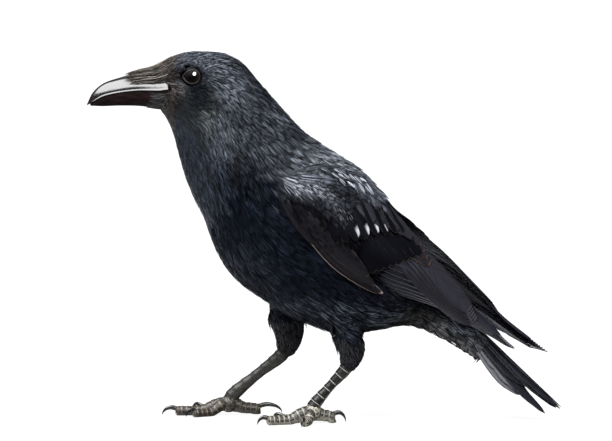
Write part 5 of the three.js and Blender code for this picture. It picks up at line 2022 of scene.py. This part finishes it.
@dataclass
class Studio:
    """Floor, light and camera."""

    elevation: float = 7.0
    distance: float = 12.0
    mm_a_pixel: float = 0.765
    image: tuple[int, int] = (612, 441)
    origin_pixel: Span = (325.4, 419.2)

    def floor(self) -> None:
        """Lay a plain pale floor that glows a little, as a light table does."""
        floor = start_piece("floor", bpy.ops.mesh.primitive_plane_add, size=40)
        material, _, shader = new_material("light_table_acrylic")
        plug(shader, Base_Color=linear("616161"), Roughness=0.9, Specular_IOR_Level=0.0)
        plug(shader, Emission_Color=linear("ffffff"), Emission_Strength=0.9)
        floor.data.materials.append(material)
        # Its glow is for the eye alone: it throws no light up on the belly and the bill.
        floor.visible_diffuse = False
        floor.visible_glossy = False
        floor.visible_shadow = False

    def sun(self, name: str, way: Spot, power: float, spread: float) -> Piece:
        """Hang one wide soft light, far off, that shines from a direction."""
        light = bpy.data.lights.new(name, "SUN")
        light.energy = power
        light.angle = math.radians(spread)
        lamp = bpy.data.objects.new(name, light)
        lamp.rotation_euler = Vector(way).to_track_quat("Z", "Y").to_euler()
        bpy.context.collection.objects.link(lamp)
        return lamp

    def flag(self, lamp: Piece, pieces: list[Piece], state: str) -> None:
        """Keep a lamp's light off some pieces, or with the state INCLUDE off all but these."""
        lit = bpy.data.collections.new(f"{lamp.name}_flags")
        for piece in pieces:
            lit.objects.link(piece)
        for entry in lit.collection_objects:
            entry.light_linking.link_state = state
        lamp.light_linking.receiver_collection = lit

    def light(self, eyes: list[Piece], bill: list[Piece]) -> None:
        """Light the crow with soft boxes round it, and by the glow of the table.

        Args:
            eyes: The eyeballs, which mirror a small box of their own.
            bill: The upper half of the bill, which mirrors a wide box of its own, and the lower half.
        """
        upper, lower = bill
        for name, way, power, spread, pieces, state in (
            ("overhead_soft_box", (-0.2, -0.22, 0.95), 4.6, 46, [*eyes, upper], "EXCLUDE"),
            ("side_strip_box", (-0.28, -0.62, 0.73), 2.6, 34, [*eyes, upper], "EXCLUDE"),
            ("front_soft_box", (0.47, -0.72, 0.51), 1.6, 26, [*eyes, upper], "EXCLUDE"),
            ("table_glow", (-0.25, -0.42, -0.87), 1.5, 90, [*eyes, upper, lower], "EXCLUDE"),
            ("low_rim_box", (-0.7, 0.35, -0.62), 2.0, 40, [*eyes, upper], "EXCLUDE"),
            ("eye_soft_box", (0.45, -0.72, 0.52), 8.5, 38, eyes, "INCLUDE"),
            ("bill_soft_box", (-0.4, -0.64, 0.755), 7.0, 60, [upper], "INCLUDE"),
        ):
            self.flag(self.sun(name, way, power, spread), pieces, state)
        world = bpy.data.worlds.new("studio")
        bpy.context.scene.world = world
        world.use_nodes = True
        add = partial(add_node, world.node_tree)
        height = add("MapRange", i0=add("SeparateXYZ", Vector=add("TexCoord")["Generated"])[2], i1=-0.1)[0]
        stops = ((0.0, "323338"), (0.12, "4c4d52"), (0.5, "70727a"), (1.0, "b8babd"))
        sky = add("ValToRGB", stops=stops, Fac=height)[0]
        seen = add("LightPath")["Is Camera Ray"]
        shown = add("Mix", COLOUR, i0=seen, i6=sky, i7=linear("ffffff"))[2]
        plug(world.node_tree.nodes["Background"], Color=shown, Strength=1.0)
        bpy.context.scene.view_settings.view_transform = "Standard"

    def camera(self) -> None:
        """Set the camera level with the crow, a little above it, square to its left side."""
        tilt = math.radians(self.elevation)
        across = (self.image[0] / 2 - self.origin_pixel[0]) * self.mm_a_pixel * MM
        rise = (self.origin_pixel[1] - self.image[1] / 2) * self.mm_a_pixel * MM
        aim = Vector((across, rise * math.sin(tilt), rise * math.cos(tilt)))
        lens = bpy.data.cameras.new("camera")
        lens.sensor_width = 36.0
        lens.lens = self.distance * 36.0 / (self.image[0] * self.mm_a_pixel * MM)
        camera = bpy.data.objects.new("camera", lens)
        camera.location = aim - self.distance * Vector((0, math.cos(tilt), -math.sin(tilt)))
        camera.rotation_euler = (math.radians(90) - tilt, 0, 0)
        bpy.context.collection.objects.link(camera)
        bpy.context.scene.camera = camera

    def build(self, eyes: list[Piece], bill: list[Piece]) -> None:
        """Set up the whole studio."""
        self.floor()
        self.light(eyes, bill)
        self.camera()


# Painted shade: the greater and median coverts are darker and duller than the other flight feathers, below
# the bright shoulder.
COVERT = FlightFinish("covert_keratin", "030305", "08080c", "8d827e", 0.5, 0.07, "cdd3ee", 1.4)
HEM_COVERT = FlightFinish(
    "primary_covert_keratin", "060508", "141216", "b3a09a", 0.5, 0.2, "dcd8e6", 1.2, rim_share=0.45
)
LESSER_COVERT = PlumageFinish("lesser_covert_feather", "07070b", "191a20", "1a1b20", 0.4, 0.6, pale_and_painted_sheen="b9bec9")
WING_FINISHES = {
    "primaries": FlightFinish("primary_keratin", "0b0b10", "1d1c22", "98989c", rim_share=0.43),
    "secondaries": FlightFinish("secondary_keratin", "0e0d11", "29272c", "5c5a5e", 0.5, 0.35, barb_mm=0.9),
    "tertials": FlightFinish("tertial_keratin", "0a090d", "221f22", "8a7260", 0.45, 0.3, rim_share=0.44),
    "primary_coverts": HEM_COVERT,
    "alula": HEM_COVERT,
    "greater_coverts": COVERT,
    "median_coverts": COVERT,
    "scapulars": FlightFinish("scapular_keratin", "0d0d11", "24242a", "4c4b50", 0.45, 0.4, "d6dae8", 0.9),
    # Painted shade: the marginal coverts are darker and duller than the lesser coverts above them.
    "marginal_coverts": PlumageFinish(
        "marginal_covert_feather", "040407", "0d0c11", "100f13", 0.55, 0.15, "d8d8e4"
    ),
    "lesser_coverts": LESSER_COVERT,
    "scapular_plumes": LESSER_COVERT,
    "shoulder": PlumageFinish("shoulder_feather", "08080c", "22242c", "26282e", 0.4, 0.75, pale_and_painted_sheen="9aa3b1"),
}

# Each leg: stations of the shank as x, y, z, depth and width, ball of the foot, toes, and its two finishes.
LEGS = (
    (
        "left",
        ((19.0, -23.6, 51.0, 4.6, 4.2), (15.3, -24.0, 42.0, 4.9, 4.0), (3.6, -24.2, 28.8, 3.6, 3.0),
         (-8.0, -24.5, 15.0, 4.8, 4.0), (-10.5, -24.5, 9.0, 4.6, 4.2)),
        (-10.0, -24.5, 8.4),
        ((192, 17.5, 3.8, 1.8, 8.5), (-14, 25, 3, 0, 6.5), (16, 36, 3.4, 0, 7.5), (72, 21, 3, 0, 5.5)),
        ScuteFinish("leg_scale_keratin", "0d0d0d", "252422", sole="85827a", sole_share=0.16),
        ScuteFinish("toe_scale_keratin", "0a0909", "22201d", "8f8a7d", "918e82", 0.36, 0.18, 0.42, 1.6, 0.4),
    ),
    (
        "right",
        ((-29.5, 24.4, 54.0, 4.8, 4.4), (-34.5, 24.5, 45.5, 5.2, 4.2), (-51.5, 24.7, 32.0, 3.9, 3.2),
         (-69.8, 25.0, 16.6, 5.2, 4.1), (-74.0, 25.0, 9.5, 4.6, 4.2)),
        (-74.0, 25.0, 8.6),
        ((192, 24.5, 3.7, 1.2, 17.0), (28, 31, 3, 0, 6), (4, 41, 3.4, 0, 10), (-34, 27, 3, 0, 7)),
        # The right leg's scales, seams and soles are darker than the left's.
        ScuteFinish(
            "right_leg_scale_keratin", "0a0a09", "1d1c19", "48463f", "2e2d28", 0.42, 0.03, 0.2, 1, 0.9
        ),
        ScuteFinish(
            "right_toe_scale_keratin", "090807", "1e1a15", "5c5345", "3e392f", 0.4, 0.16, 0.34, 1.4, 0.5
        ),
    ),
)


def main() -> None:
    """Build the crow, piece by piece, in its studio."""
    logging.basicConfig(level=logging.INFO, format="%(name)s: %(message)s")
    eyes = (Eye(-1), Eye(1))
    coat = Coat(BODY, (LEFT_THIGH, RIGHT_THIGH), (LEFT_WING, RIGHT_WING), eyes[1].centre)
    skin_maker = Skin(coat)
    skin = skin_maker.build()
    dress(skin, SkinFinish("bird_skin").material(), "body_plumage", *skin_maker.nodes)
    for tract, piece in coat.grow(skin).items():
        dress(piece, TRACT_FINISHES[tract].material(), "body_plumage")
    bill = Bill()
    horns = bill.build()
    Bristles(bill).build()
    Studio().build([eye.build() for eye in eyes], horns)
    made = {finish: finish.material() for finish in dict.fromkeys(WING_FINISHES.values())}
    finishes = {name: made[finish] for name, finish in WING_FINISHES.items()}
    for wing in (LEFT_WING, RIGHT_WING):
        WingFeathers(wing, finishes).build()
    Tail().build(FlightFinish("tail_feather_keratin", "07070b", "18181d", "5c5b5b", 0.42, 0.35).material())
    claws = HornFinish("claw_horn", "0b0a0b", "262121", 0.25, 0.8, 0.8).material()
    for name, shank, ball, toes, scales, hide in LEGS:
        finishes = (claws, scales.material(), hide.material())
        Leg(name, shank, ball, tuple(Toe(*toe) for toe in toes), finishes).build()
    deselect()


if __name__ == "__main__":
    main()
